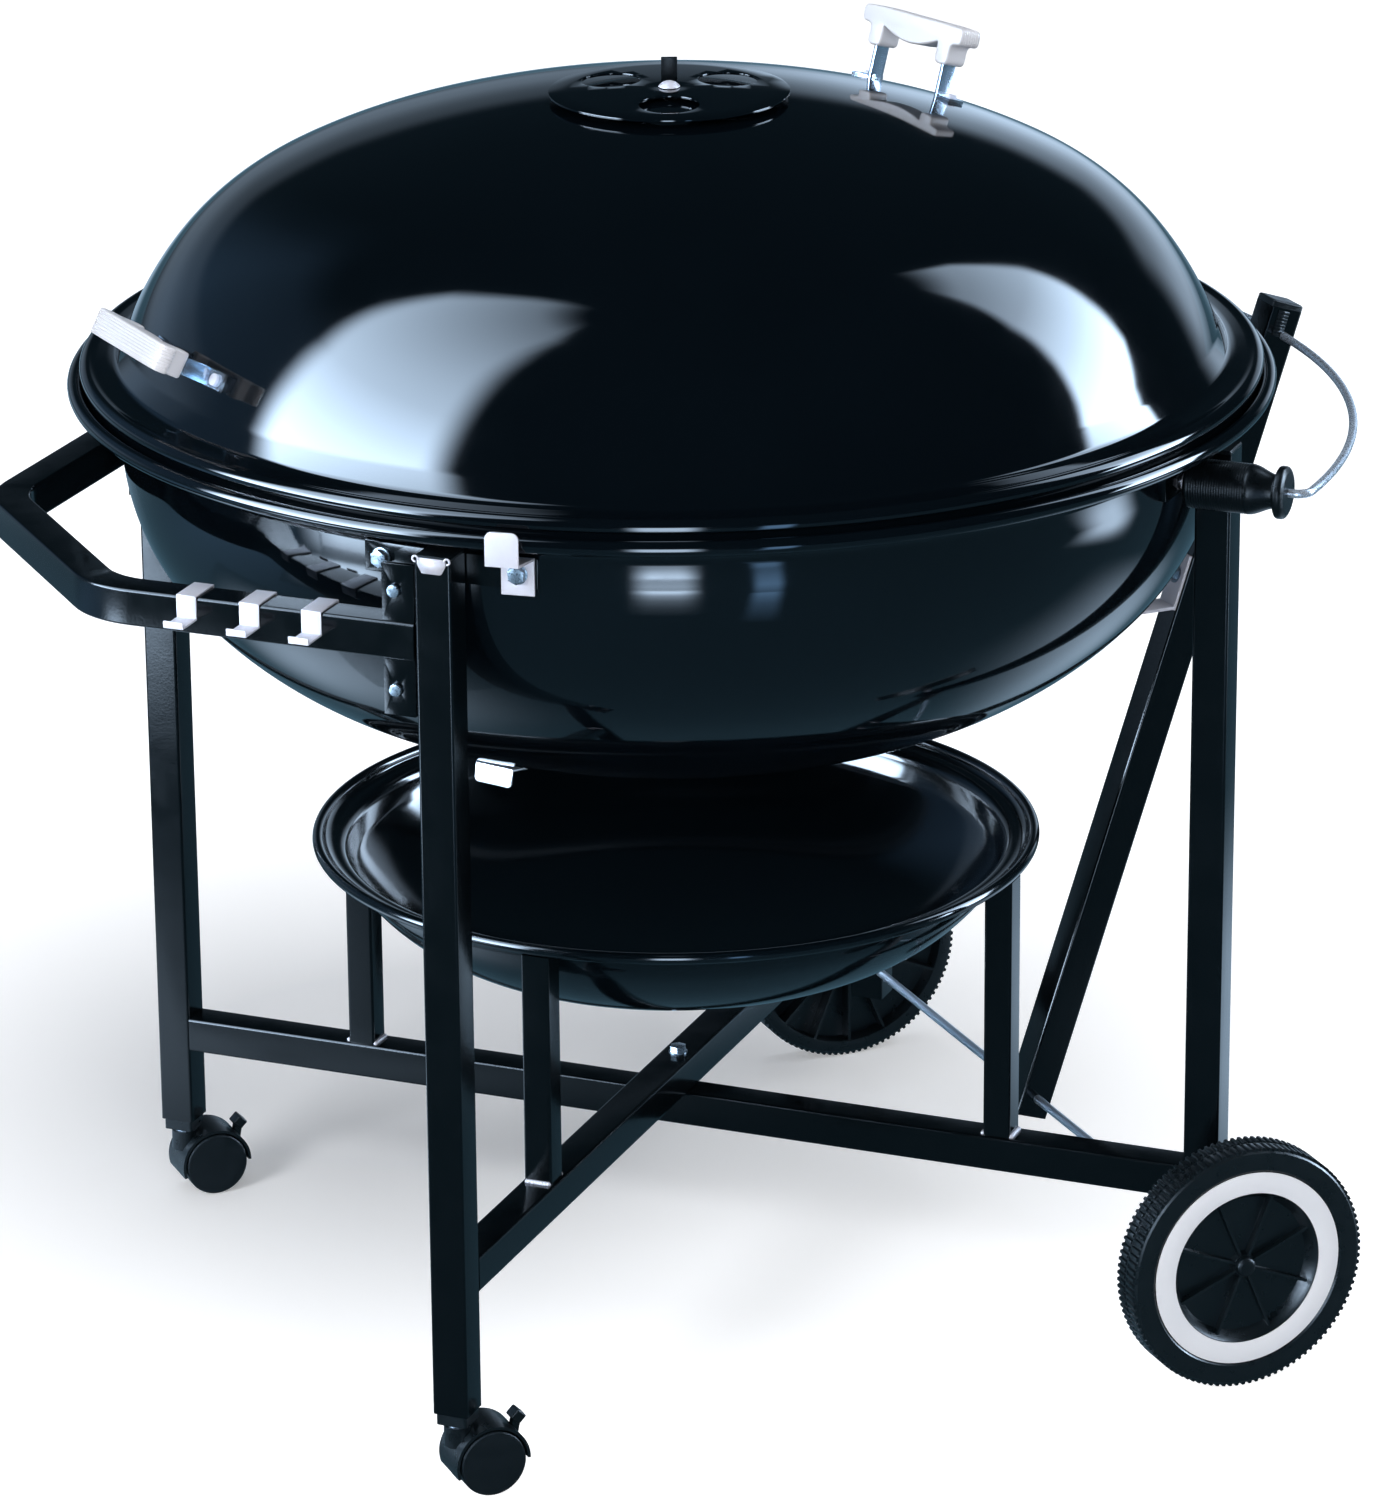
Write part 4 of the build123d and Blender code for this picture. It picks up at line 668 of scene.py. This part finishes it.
def make_lid_grip(name):
    """White grip with lengthwise ribs over its top and ends."""
    radius, azimuth = LID_HANDLES[name]
    z, angle = chain_place(DOME_CHAIN, 1, radius)
    place = turned(azimuth, radius, z) @ Matrix.Rotation(radians(90) - angle, 4, "Y")
    place = place @ Matrix.Rotation(radians(90), 4, "Z")
    outline = [Vector((x, 0, z)) for x, z in lid_grip_outline()]
    normals = []
    for i, point in enumerate(outline):
        ahead = outline[(i + 1) % len(outline)] - outline[i - 1]
        normals.append(Vector((ahead.z, 0, -ahead.x)).normalized())
    half = LID_GRIP_WIDTH / 2
    starts = []
    for degrees in LID_GRIP_EDGE_TURNS:
        turn = radians(degrees)
        starts.append((-half + LID_GRIP_EDGE * (1 - cos(turn)), LID_GRIP_EDGE * (1 - sin(turn))))
    steps = LID_GRIP_RIBS * LID_GRIP_RIB_STEPS
    ribbed = half - LID_GRIP_EDGE
    middle = []
    for i in range(steps + 1):
        wave = abs(sin(pi * i * LID_GRIP_RIBS / steps))
        depth = LID_GRIP_GROOVE * (1 - wave**LID_GRIP_RIB_SHAPE)
        middle.append((-ribbed + 2 * ribbed * i / steps, depth))
    ends = [(-y, inset) for y, inset in reversed(starts)]

    def build(work):
        rings = []
        for group, everywhere in ((starts, True), (middle, False), (ends, True)):
            for y, inset in group:
                ring = []
                for point, normal in zip(outline, normals):
                    outer = normal.z > LID_GRIP_TOP_FACING or abs(point.x) > LID_STUB_OUT
                    ribs_here = outer and point.z > LID_GRIP_LOW + LID_GRIP_PLAIN
                    depth = inset if everywhere or ribs_here else 0.0
                    ring.append(place @ (point - normal * depth + Vector((0, y, 0))))
                rings.append(ring)
        stacked(work, rings)

    return add_mesh(f"lid_grip_{name}_ribbed", build)


def make_side_grip(name):
    """Barrel with fine rings, a tapered neck and an end disc."""
    side = -GRIP_SIDE if name == "front" else GRIP_SIDE
    place = turned(LEG_AZIMUTHS[name + "_right"], 0, 0) @ Matrix.Translation((0, side, HOOP_Z))
    place = place @ Matrix.Rotation(radians(90), 4, "Y")
    profile = [(0.0, GRIP_START)]
    profile += [(GRIP_R - inset, GRIP_START + along) for inset, along in GRIP_EDGE]
    barrel = GRIP_BARREL_END - GRIP_START - GRIP_PLAIN
    for i in range(GRIP_RINGS * 4 + 1):
        along = GRIP_START + GRIP_PLAIN + barrel * i / (GRIP_RINGS * 4)
        profile.append((GRIP_R - GRIP_GROOVE * sin(pi * i / 4) ** 2, along))
    for i in range(1, GRIP_NECK_STEPS + 1):
        t = i / GRIP_NECK_STEPS
        drop = (GRIP_R - GRIP_NECK_R) * (1 - cos(pi * t)) / 2
        profile.append((GRIP_R - drop, GRIP_BARREL_END + (GRIP_NECK_END - GRIP_BARREL_END) * t))
    profile += rounded(
        [
            (GRIP_NECK_R + GRIP_NECK_FLARE, GRIP_NECK_END),
            (GRIP_DISC_R, GRIP_NECK_END),
            (GRIP_DISC_R, GRIP_END - GRIP_DISC_EDGE),
            (GRIP_DISC_R - GRIP_DISC_BEVEL, GRIP_END),
            (0.0, GRIP_END),
        ],
        GRIP_DISC_ROUND,
    )
    return lathe(f"side_grip_{name}_ringed", profile, False, place, GRIP_STEPS)


def square_ring(half, z):
    """Points round a square tube's outline, with its corners rounded."""
    ring = []
    centre = half - TUBE_CORNER
    for quarter in range(4):
        for i in range(TUBE_CORNER_STEPS + 1):
            angle = radians(90 * quarter + 90 * i / TUBE_CORNER_STEPS)
            corner = radians(90 * quarter + 45)
            x = centre * sqrt(2) * cos(corner) + TUBE_CORNER * cos(angle)
            y = centre * sqrt(2) * sin(corner) + TUBE_CORNER * sin(angle)
            ring.append(Vector((x, y, z)))
    return ring


def make_post_cap():
    """Plastic cap on the leaning post, with ribs round it and a ribbed tongue down the front face."""
    place = KETTLE_AXIS @ Matrix.Translation((LEG_R / sqrt(2), 0, AXLE_Z))
    place = place @ Matrix.Rotation(POST_LEAN, 4, "Y")
    place = place @ Matrix.Translation((0, 0, (POST_TOP_Z - AXLE_Z) / cos(POST_LEAN)))
    half = TUBE / 2
    rows = [(half, CONTACT_GAP)]
    for i in range(1, CAP_RIBS + 1):
        z = POST_CAP * i / (CAP_RIBS + 2)
        rows += [(half, z - CAP_RIB_HALF), (half - CAP_RIB_DEPTH, z), (half, z + CAP_RIB_HALF)]
    rows += [(half - inset, POST_CAP - below) for inset, below in CAP_TOP]

    def build(work):
        stacked(work, [[place @ point for point in square_ring(size, z)] for size, z in rows])
        section = []
        for i in range(TONGUE_RIBS * 4 + 1):
            z = TONGUE_LOW * (1 - i / (TONGUE_RIBS * 4)) - TONGUE_GAP
            section.append((TONGUE_SHEET + TONGUE_RIB * sin(pi * i / 4) ** 2, z))
        rings = []
        for x in TONGUE_SIDES:
            ring = [place @ Vector((x, -half - out, z)) for out, z in section]
            ring += [place @ Vector((x, -half + TONGUE_SUNK, z)) for z in (section[-1][1], section[0][1])]
            rings.append(ring)
        stacked(work, rings)

    return add_mesh("holder_post_cap_ribbed", build)


def make_leg_clip():
    """Zinc clip at the top of the front left leg's outer face, with a curl at each end."""
    place = turned(LEG_AZIMUTHS["front_left"], LEG_R + TUBE / 2, LEG_TOP_Z)
    outline = rounded(CLIP_OUTLINE, CLIP_CORNER)
    outline += [(-y, z) for y, z in reversed(outline[1:-1])]

    def build(work):
        faces = (CONTACT_GAP, CONTACT_GAP + CLIP_SHEET)
        stacked(work, [[place @ Vector((x, y, z)) for y, z in outline] for x in faces])
        outwards = (place.to_3x3() @ Vector((1, 0, 0))).normalized()
        for side in (-1, 1):
            points = []
            curl = bead_arc(CLIP_CURL_SIDE, CLIP_CURL_RISE, CLIP_CURL_R, *CLIP_CURL_SPAN, CLIP_CURL_STEPS)
            for y, z in curl:
                points.append(place @ Vector((CLIP_SHEET, side * y, z)))
            stacked(work, wire_rings(points, outwards, [CLIP_WIRE_R] * len(points), 8))

    return add_mesh("leg_clip", build)


def make_ash_post_welds():
    """Rippled weld beads along the feet of the ash pan's posts."""

    def build(work):
        for name, azimuth in LEG_AZIMUTHS.items():
            foot = LOWER_CROSS_TOP_Z if name in ("back_left", "front_right") else UPPER_CROSS_TOP_Z
            for out in (-1, 1):
                place = turned(azimuth, ASH_POST_R + out * ASH_POST / 2, foot)
                points = []
                radii = []
                for i in range(WELD_STEPS + 1):
                    side = WELD_HALF * (2 * i / WELD_STEPS - 1)
                    points.append(place @ Vector((out * WELD_OUT, side, WELD_RISE)))
                    ripple = 1 - WELD_RIPPLE + WELD_RIPPLE * abs(sin(pi * i / WELD_RIPPLE_STEPS))
                    taper = min(1.0, WELD_TIP + WELD_TIP_RISE * min(i, WELD_STEPS - i))
                    radii.append(WELD_R * ripple * taper)
                stacked(work, wire_rings(points, Vector((0, 0, 1)), radii))

    return add_mesh("ash_post_welds", build)


# Finishes


def new_material(name):
    """Empty node material and its shader."""
    material = bpy.data.materials.new(name)
    material.use_nodes = True
    return material, material.node_tree, material.node_tree.nodes["Principled BSDF"]


def noise(tree, scale, detail=3.0):
    """Noise in object space, in cells per metre."""
    place = tree.nodes.new("ShaderNodeTexCoord")
    texture = tree.nodes.new("ShaderNodeTexNoise")
    texture.inputs["Scale"].default_value = scale
    texture.inputs["Detail"].default_value = detail
    tree.links.new(place.outputs["Object"], texture.inputs["Vector"])
    return texture.outputs["Fac"]


def spread(tree, value, low, high):
    """Map a noise's middle range to low and high."""
    span = tree.nodes.new("ShaderNodeMapRange")
    span.inputs["From Min"].default_value = NOISE_MIDDLE[0]
    span.inputs["From Max"].default_value = NOISE_MIDDLE[1]
    span.inputs["To Min"].default_value = low
    span.inputs["To Max"].default_value = high
    tree.links.new(value, span.inputs["Value"])
    return span.outputs["Result"]


def tint(tree, value, first, second):
    """Blend two colours by a noise."""
    mix = tree.nodes.new("ShaderNodeMix")
    mix.data_type = "RGBA"
    mix.inputs[6].default_value = (*first, 1.0)
    mix.inputs[7].default_value = (*second, 1.0)
    tree.links.new(value, mix.inputs[0])
    return mix.outputs[2]


def bump(tree, shader, value, distance, strength):
    """Fine relief from a noise."""
    node = tree.nodes.new("ShaderNodeBump")
    node.inputs["Distance"].default_value = distance
    node.inputs["Strength"].default_value = strength
    tree.links.new(value, node.inputs["Height"])
    tree.links.new(node.outputs["Normal"], shader.inputs["Normal"])


def coated(name, first, second, rough, peel_scale, peel, gloss=0.5):
    """Glossy black coat with an orange-peel surface."""
    material, tree, shader = new_material(name)
    shader.inputs["Specular IOR Level"].default_value = gloss
    tree.links.new(tint(tree, noise(tree, COAT_CLOUDS), first, second), shader.inputs["Base Color"])
    smears = noise(tree, COAT_SMEARS)
    tree.links.new(spread(tree, smears, rough * 0.8, rough * 1.25), shader.inputs["Roughness"])
    bump(tree, shader, noise(tree, peel_scale, 2.0), COAT_RELIEF, peel)
    return material


def metal(name, first, second, rough, metallic):
    """Plated or bare metal with a fine grain."""
    material, tree, shader = new_material(name)
    tree.links.new(tint(tree, noise(tree, METAL_CLOUDS), first, second), shader.inputs["Base Color"])
    fine = noise(tree, METAL_GRAIN, 4.0)
    tree.links.new(spread(tree, fine, rough * 0.75, rough * 1.3), shader.inputs["Roughness"])
    shader.inputs["Metallic"].default_value = metallic
    bump(tree, shader, fine, METAL_RELIEF, METAL_BUMP)
    return material


def plastic(name, first, second, rough, grain_scale, grain, gloss=0.5):
    """Moulded plastic with a fine texture."""
    material, tree, shader = new_material(name)
    shader.inputs["Specular IOR Level"].default_value = gloss
    tree.links.new(tint(tree, noise(tree, PLASTIC_CLOUDS), first, second), shader.inputs["Base Color"])
    smears = noise(tree, PLASTIC_SMEARS)
    tree.links.new(spread(tree, smears, rough * 0.85, rough * 1.2), shader.inputs["Roughness"])
    bump(tree, shader, noise(tree, grain_scale), PLASTIC_RELIEF, grain)
    return material


FINISHES = {
    "enamel": coated("enamel", ENAMEL_LOW, ENAMEL_HIGH, 0.055, 45.0, 0.003),
    "ash_paint": coated("ash_paint", ASH_LOW, ASH_HIGH, 0.10, 60.0, 0.002),
    "frame_paint": coated("frame_paint", PAINT_LOW, PAINT_HIGH, 0.15, 420.0, 0.05, 0.32),
    "cap_plastic": plastic("cap_plastic", BLACK_LOW, BLACK_HIGH, 0.35, 1500.0, 0.2, 0.3),
    "zinc": metal("zinc", (0.58, 0.58, 0.65), (0.68, 0.68, 0.75), 0.48, 0.12),
    "strap_zinc": metal("strap_zinc", (0.48, 0.56, 0.66), (0.62, 0.70, 0.80), 0.16, 0.9),
    "bolt_steel": metal("bolt_steel", (0.20, 0.25, 0.29), (0.32, 0.37, 0.42), 0.30, 0.9),
    "axle_steel": metal("axle_steel", (0.40, 0.46, 0.53), (0.54, 0.60, 0.67), 0.36, 0.85),
    "rod_chrome": metal("rod_chrome", (0.52, 0.58, 0.66), (0.66, 0.72, 0.80), 0.28, 0.7),
    "damper_aluminium": metal("damper_aluminium", (0.74, 0.75, 0.78), (0.85, 0.86, 0.88), 0.38, 0.7),
    "white_grip": plastic("white_grip", (0.76, 0.75, 0.79), (0.81, 0.80, 0.83), 0.42, 900.0, 0.08),
    "black_grip": plastic("black_grip", BLACK_GRIP_LOW, BLACK_GRIP_HIGH, 0.30, 1300.0, 0.2, 0.25),
    "wheel_plastic": plastic("wheel_plastic", BLACK_LOW, BLACK_HIGH, 0.30, 900.0, 0.12, 0.45),
    "wheel_ring": plastic("wheel_ring", (0.78, 0.79, 0.83), (0.83, 0.84, 0.87), 0.35, 700.0, 0.05),
    "caster_plastic": plastic("caster_plastic", BLACK_LOW, BLACK_HIGH, 0.30, 900.0, 0.10, 0.3),
    "caster_tread": plastic("caster_tread", BLACK_LOW, BLACK_HIGH, 0.42, 900.0, 0.15, 0.25),
    "grate_wire": metal("grate_wire", (0.48, 0.48, 0.49), (0.62, 0.62, 0.63), 0.33, 0.9),
}

NODE_SLOTS = {part["node"]: part["material_slot"] for part in frame["record"]["subparts"]}


def dress(piece, slot):
    """Give a piece its slot's finish."""
    piece.data.materials.clear()
    piece.data.materials.append(FINISHES[slot])


def smooth_node(node, edge):
    """Shade a CAD node smoothly, with its hard edges kept or broken by a small bevel."""
    node.data.shade_smooth()
    normals = node.data.attributes.get("custom_normal")
    if normals:
        node.data.attributes.remove(normals)
    weld = node.modifiers.new("weld", "WELD")
    weld.merge_threshold = TINY
    if edge:
        bevel = node.modifiers.new("bevel", "BEVEL")
        bevel.width = edge
        bevel.segments = 2
        bevel.limit_method = "ANGLE"
        bevel.angle_limit = radians(BEVEL_ANGLE)
    split = node.modifiers.new("split", "EDGE_SPLIT")
    split.split_angle = radians(SPLIT_ANGLE)


for name, node in frame["nodes"].items():
    dress(node, NODE_FINISHES.get(name, NODE_SLOTS[name]))
    smooth_node(node, BROKEN_EDGES.get(name))

REPLACED = {
    "lid": make_lid(),
    "bowl": make_bowl(),
    "ash_pan": make_ash_pan(),
    "lid_grip_high": make_lid_grip("high"),
    "lid_grip_low": make_lid_grip("low"),
    "side_grip_front": make_side_grip("front"),
    "side_grip_back": make_side_grip("back"),
    "holder_post_cap": make_post_cap(),
}
for name, piece in REPLACED.items():
    dress(piece, NODE_SLOTS[name])
    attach(piece, frame["nodes"][name]["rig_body"])
    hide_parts(name)

# The weld beads take pale zinc so that they show as the bright strips along the post feet: real welds
# with a painted highlight.
for piece in (make_leg_clip(), make_ash_post_welds()):
    dress(piece, "zinc")
    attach(piece, frame["nodes"]["leg_front_left"]["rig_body"])


# Studio sheets, lights and camera


def glow_material(name, colour, soft):
    """Light card that adds to what is behind it, with edges that fade, as bright as its glow values."""
    material = bpy.data.materials.new(name)
    material.use_nodes = True
    tree = material.node_tree
    tree.nodes.clear()
    output = tree.nodes.new("ShaderNodeOutputMaterial")
    light = tree.nodes.new("ShaderNodeEmission")
    light.inputs["Color"].default_value = (*colour, 1.0)
    place = tree.nodes.new("ShaderNodeUVMap")
    parts = tree.nodes.new("ShaderNodeSeparateXYZ")
    tree.links.new(place.outputs["UV"], parts.inputs["Vector"])
    glow = tree.nodes.new("ShaderNodeAttribute")
    glow.attribute_name = "glow"
    total = glow.outputs["Fac"]
    edges = []
    for axis, width in zip("XY", soft):
        edges += [(axis, 0.0, width), (axis, 1.0, 1.0 - width)]
    for axis, outer, inner in edges:
        edge = tree.nodes.new("ShaderNodeMapRange")
        edge.interpolation_type = "SMOOTHSTEP"
        edge.inputs["From Min"].default_value = outer
        edge.inputs["From Max"].default_value = inner
        tree.links.new(parts.outputs[axis], edge.inputs["Value"])
        product = tree.nodes.new("ShaderNodeMath")
        product.operation = "MULTIPLY"
        tree.links.new(total, product.inputs[0])
        tree.links.new(edge.outputs["Result"], product.inputs[1])
        total = product.outputs["Value"]
    tree.links.new(total, light.inputs["Strength"])
    clear = tree.nodes.new("ShaderNodeBsdfTransparent")
    both = tree.nodes.new("ShaderNodeAddShader")
    tree.links.new(light.outputs["Emission"], both.inputs[0])
    tree.links.new(clear.outputs["BSDF"], both.inputs[1])
    tree.links.new(both.outputs["Shader"], output.inputs["Surface"])
    return material


def light_card(name, rows, colour, soft):
    """Sheet of light seen only in reflections; rows are (points, glow), from the bottom up."""

    def build(work):
        uv = work.loops.layers.uv.new("UVMap")
        strength = work.verts.layers.float.new("glow")
        made = []
        for i, (points, glow) in enumerate(rows):
            row = []
            for k, point in enumerate(points):
                vert = work.verts.new(point)
                vert[strength] = glow
                row.append((vert, (k / (len(points) - 1), i / (len(rows) - 1))))
            made.append(row)
        for low, high in zip(made, made[1:]):
            for k in range(len(low) - 1):
                corners = [low[k], low[k + 1], high[k + 1], high[k]]
                face = work.faces.new([vert for vert, _ in corners])
                for loop, (_, place) in zip(face.loops, corners):
                    loop[uv].uv = place

    card = add_mesh(name, build)
    card.data.materials.append(glow_material(name, colour, soft))
    card.visible_camera = False
    card.visible_diffuse = False
    card.visible_shadow = False


def sky_row(elevation, first, last, glow):
    """Row of a card on a far sphere round the kettle; azimuths run from -Y towards +X, in degrees."""
    points = []
    for i in range(SKY_COLUMNS + 1):
        azimuth = radians(first + (last - first) * i / SKY_COLUMNS)
        rise = radians(elevation)
        way = Vector((sin(azimuth) * cos(rise), -cos(azimuth) * cos(rise), sin(rise)))
        points.append(Vector(SKY_CENTRE) + way * SKY_R)
    return points, glow


def standing_card(name, left, right, height, glow, colour):
    """Upright sheet of light on the floor between two places, seen only in reflections."""
    rows = []
    for share in STANDING_SHARES:
        rows.append(([Vector((*left, height * share)), Vector((*right, height * share))], glow))
    light_card(name, rows, colour, STANDING_SOFT)


def floor_streak(name, near, far, widths, glows, colour):
    """Strip of light on the floor from one place to another, seen only in reflections."""
    along = Vector(far) - Vector(near)
    beside = Vector((-along.y, along.x)).normalized()
    rows = []
    for i, glow in enumerate(glows):
        share = i / (len(glows) - 1)
        middle = Vector(near) + along * share
        half = (widths[0] + (widths[1] - widths[0]) * share) / 2
        points = [middle + beside * half * side for side in STREAK_SIDES]
        rows.append(([point.to_3d() + Vector((0, 0, STREAK_Z)) for point in points], glow))
    light_card(name, rows, colour, STREAK_SOFT)


def floor_card(name, low, high, glow, colour):
    """Bright patch on the floor, seen only in reflections."""
    shares = [i / FLOOR_CARD_STEPS for i in range(FLOOR_CARD_STEPS + 1)]
    rows = []
    for up in shares:
        y = low[1] + (high[1] - low[1]) * up
        points = [Vector((low[0] + (high[0] - low[0]) * share, y, FLOOR_CARD_Z)) for share in shares]
        rows.append((points, glow))
    light_card(name, rows, colour, FLOOR_CARD_SOFT)


def area_light(name, place, aim, size, power):
    """Square soft light that leaves no mirror image."""
    lamp = bpy.data.lights.new(name, "AREA")
    lamp.size = size
    lamp.energy = power
    light = bpy.data.objects.new(name, lamp)
    light.location = place
    light.rotation_euler = (Vector(aim) - Vector(place)).to_track_quat("-Z", "Y").to_euler()
    light.visible_glossy = False
    bpy.context.scene.collection.objects.link(light)


def mixed(tree, factor, first, second):
    """Shader that goes from the first to the second by a factor."""
    mix = tree.nodes.new("ShaderNodeMixShader")
    tree.links.new(factor, mix.inputs["Fac"])
    tree.links.new(first, mix.inputs[1])
    tree.links.new(second, mix.inputs[2])
    return mix.outputs["Shader"]


def make_world():
    """White behind the object, dark in its mirror images, soft fill for the rest."""
    world = bpy.data.worlds.new("studio")
    world.use_nodes = True
    tree = world.node_tree
    tree.nodes.clear()
    output = tree.nodes.new("ShaderNodeOutputWorld")
    rays = tree.nodes.new("ShaderNodeLightPath")
    skies = []
    for colour, strength in (FILL_SKY, MIRROR_SKY, WHITE_SKY):
        sky = tree.nodes.new("ShaderNodeBackground")
        sky.inputs["Color"].default_value = (*colour, 1.0)
        sky.inputs["Strength"].default_value = strength
        skies.append(sky.outputs["Background"])
    lit = mixed(tree, rays.outputs["Is Glossy Ray"], skies[0], skies[1])
    seen = mixed(tree, rays.outputs["Is Camera Ray"], lit, skies[2])
    tree.links.new(seen, output.inputs["Surface"])
    bpy.context.scene.world = world


def make_floor():
    """Pale floor: white away from a painted shadow, where its glow dims round a spot behind the object,
    and dark where it is mirrored.
    """
    material, tree, shader = new_material("floor")
    pale = tint(tree, noise(tree, FLOOR_CLOUDS), FLOOR_LOW, FLOOR_HIGH)
    tree.links.new(pale, shader.inputs["Base Color"])
    shader.inputs["Roughness"].default_value = 1.0
    shader.inputs["Specular IOR Level"].default_value = 0.0
    place = tree.nodes.new("ShaderNodeTexCoord")
    reach = tree.nodes.new("ShaderNodeVectorMath")
    reach.operation = "DISTANCE"
    reach.inputs[1].default_value = (*PAINTED_SHADOW_CENTRE, 0.0)
    tree.links.new(place.outputs["Object"], reach.inputs[0])
    # Painted shadow: the floor's glow dims towards the spot behind the object.
    rise = tree.nodes.new("ShaderNodeMapRange")
    rise.inputs["From Min"].default_value = PAINTED_SHADOW_INNER_R
    rise.inputs["From Max"].default_value = PAINTED_SHADOW_OUTER_R
    rise.inputs["To Min"].default_value = FLOOR_GLOW_IN_PAINTED_SHADOW
    rise.inputs["To Max"].default_value = FLOOR_GLOW_OUT_OF_PAINTED_SHADOW
    tree.links.new(reach.outputs["Value"], rise.inputs["Value"])
    glow = tree.nodes.new("ShaderNodeEmission")
    tree.links.new(rise.outputs["Result"], glow.inputs["Strength"])
    seen = tree.nodes.new("ShaderNodeAddShader")
    tree.links.new(shader.outputs["BSDF"], seen.inputs[0])
    tree.links.new(glow.outputs["Emission"], seen.inputs[1])
    mirror = tree.nodes.new("ShaderNodeEmission")
    mirror.inputs["Color"].default_value = (*FLOOR_MIRROR, 1.0)
    rays = tree.nodes.new("ShaderNodeLightPath")
    lit = mixed(tree, rays.outputs["Is Camera Ray"], shader.outputs["BSDF"], seen.outputs["Shader"])
    whole = mixed(tree, rays.outputs["Is Glossy Ray"], lit, mirror.outputs["Emission"])
    tree.links.new(whole, tree.nodes["Material Output"].inputs["Surface"])

    def build(work):
        corners = ((-1, -1), (1, -1), (1, 1), (-1, 1))
        work.faces.new([work.verts.new((x * FLOOR_HALF, y * FLOOR_HALF, FLOOR_Z)) for x, y in corners])

    floor = add_mesh("floor", build)
    floor.data.materials.append(material)


def make_camera():
    """Camera at the fitted place."""
    azimuth = radians(CAMERA_AZIMUTH)
    elevation = radians(CAMERA_ELEVATION)
    roll = radians(CAMERA_ROLL)
    back = Vector((sin(azimuth) * cos(elevation), -cos(azimuth) * cos(elevation), sin(elevation)))
    right = Vector((cos(azimuth), sin(azimuth), 0.0))
    up = back.cross(right)
    rolled_right = right * cos(roll) + up * sin(roll)
    rolled_up = up * cos(roll) - right * sin(roll)
    matrix = Matrix((rolled_right, rolled_up, back)).transposed().to_4x4()
    matrix.translation = CAMERA_PLACE
    lens = bpy.data.cameras.new("camera")
    lens.lens = CAMERA_LENS
    lens.sensor_width = CAMERA_SENSOR
    lens.clip_end = CAMERA_REACH
    camera = bpy.data.objects.new("camera", lens)
    camera.matrix_world = matrix
    bpy.context.scene.collection.objects.link(camera)
    bpy.context.scene.camera = camera


make_world()
make_floor()
for name, rows, colour, soft in SKY_CARDS:
    light_card(name, [sky_row(*row) for row in rows], colour, soft)
for card in FLOOR_CARDS:
    floor_card(*card)
for streak in FLOOR_STREAKS:
    floor_streak(*streak)
for card in STANDING_CARDS:
    standing_card(*card)
for lamp in LAMPS:
    area_light(*lamp)
make_camera()

scene = bpy.context.scene
scene.view_settings.view_transform = "Standard"
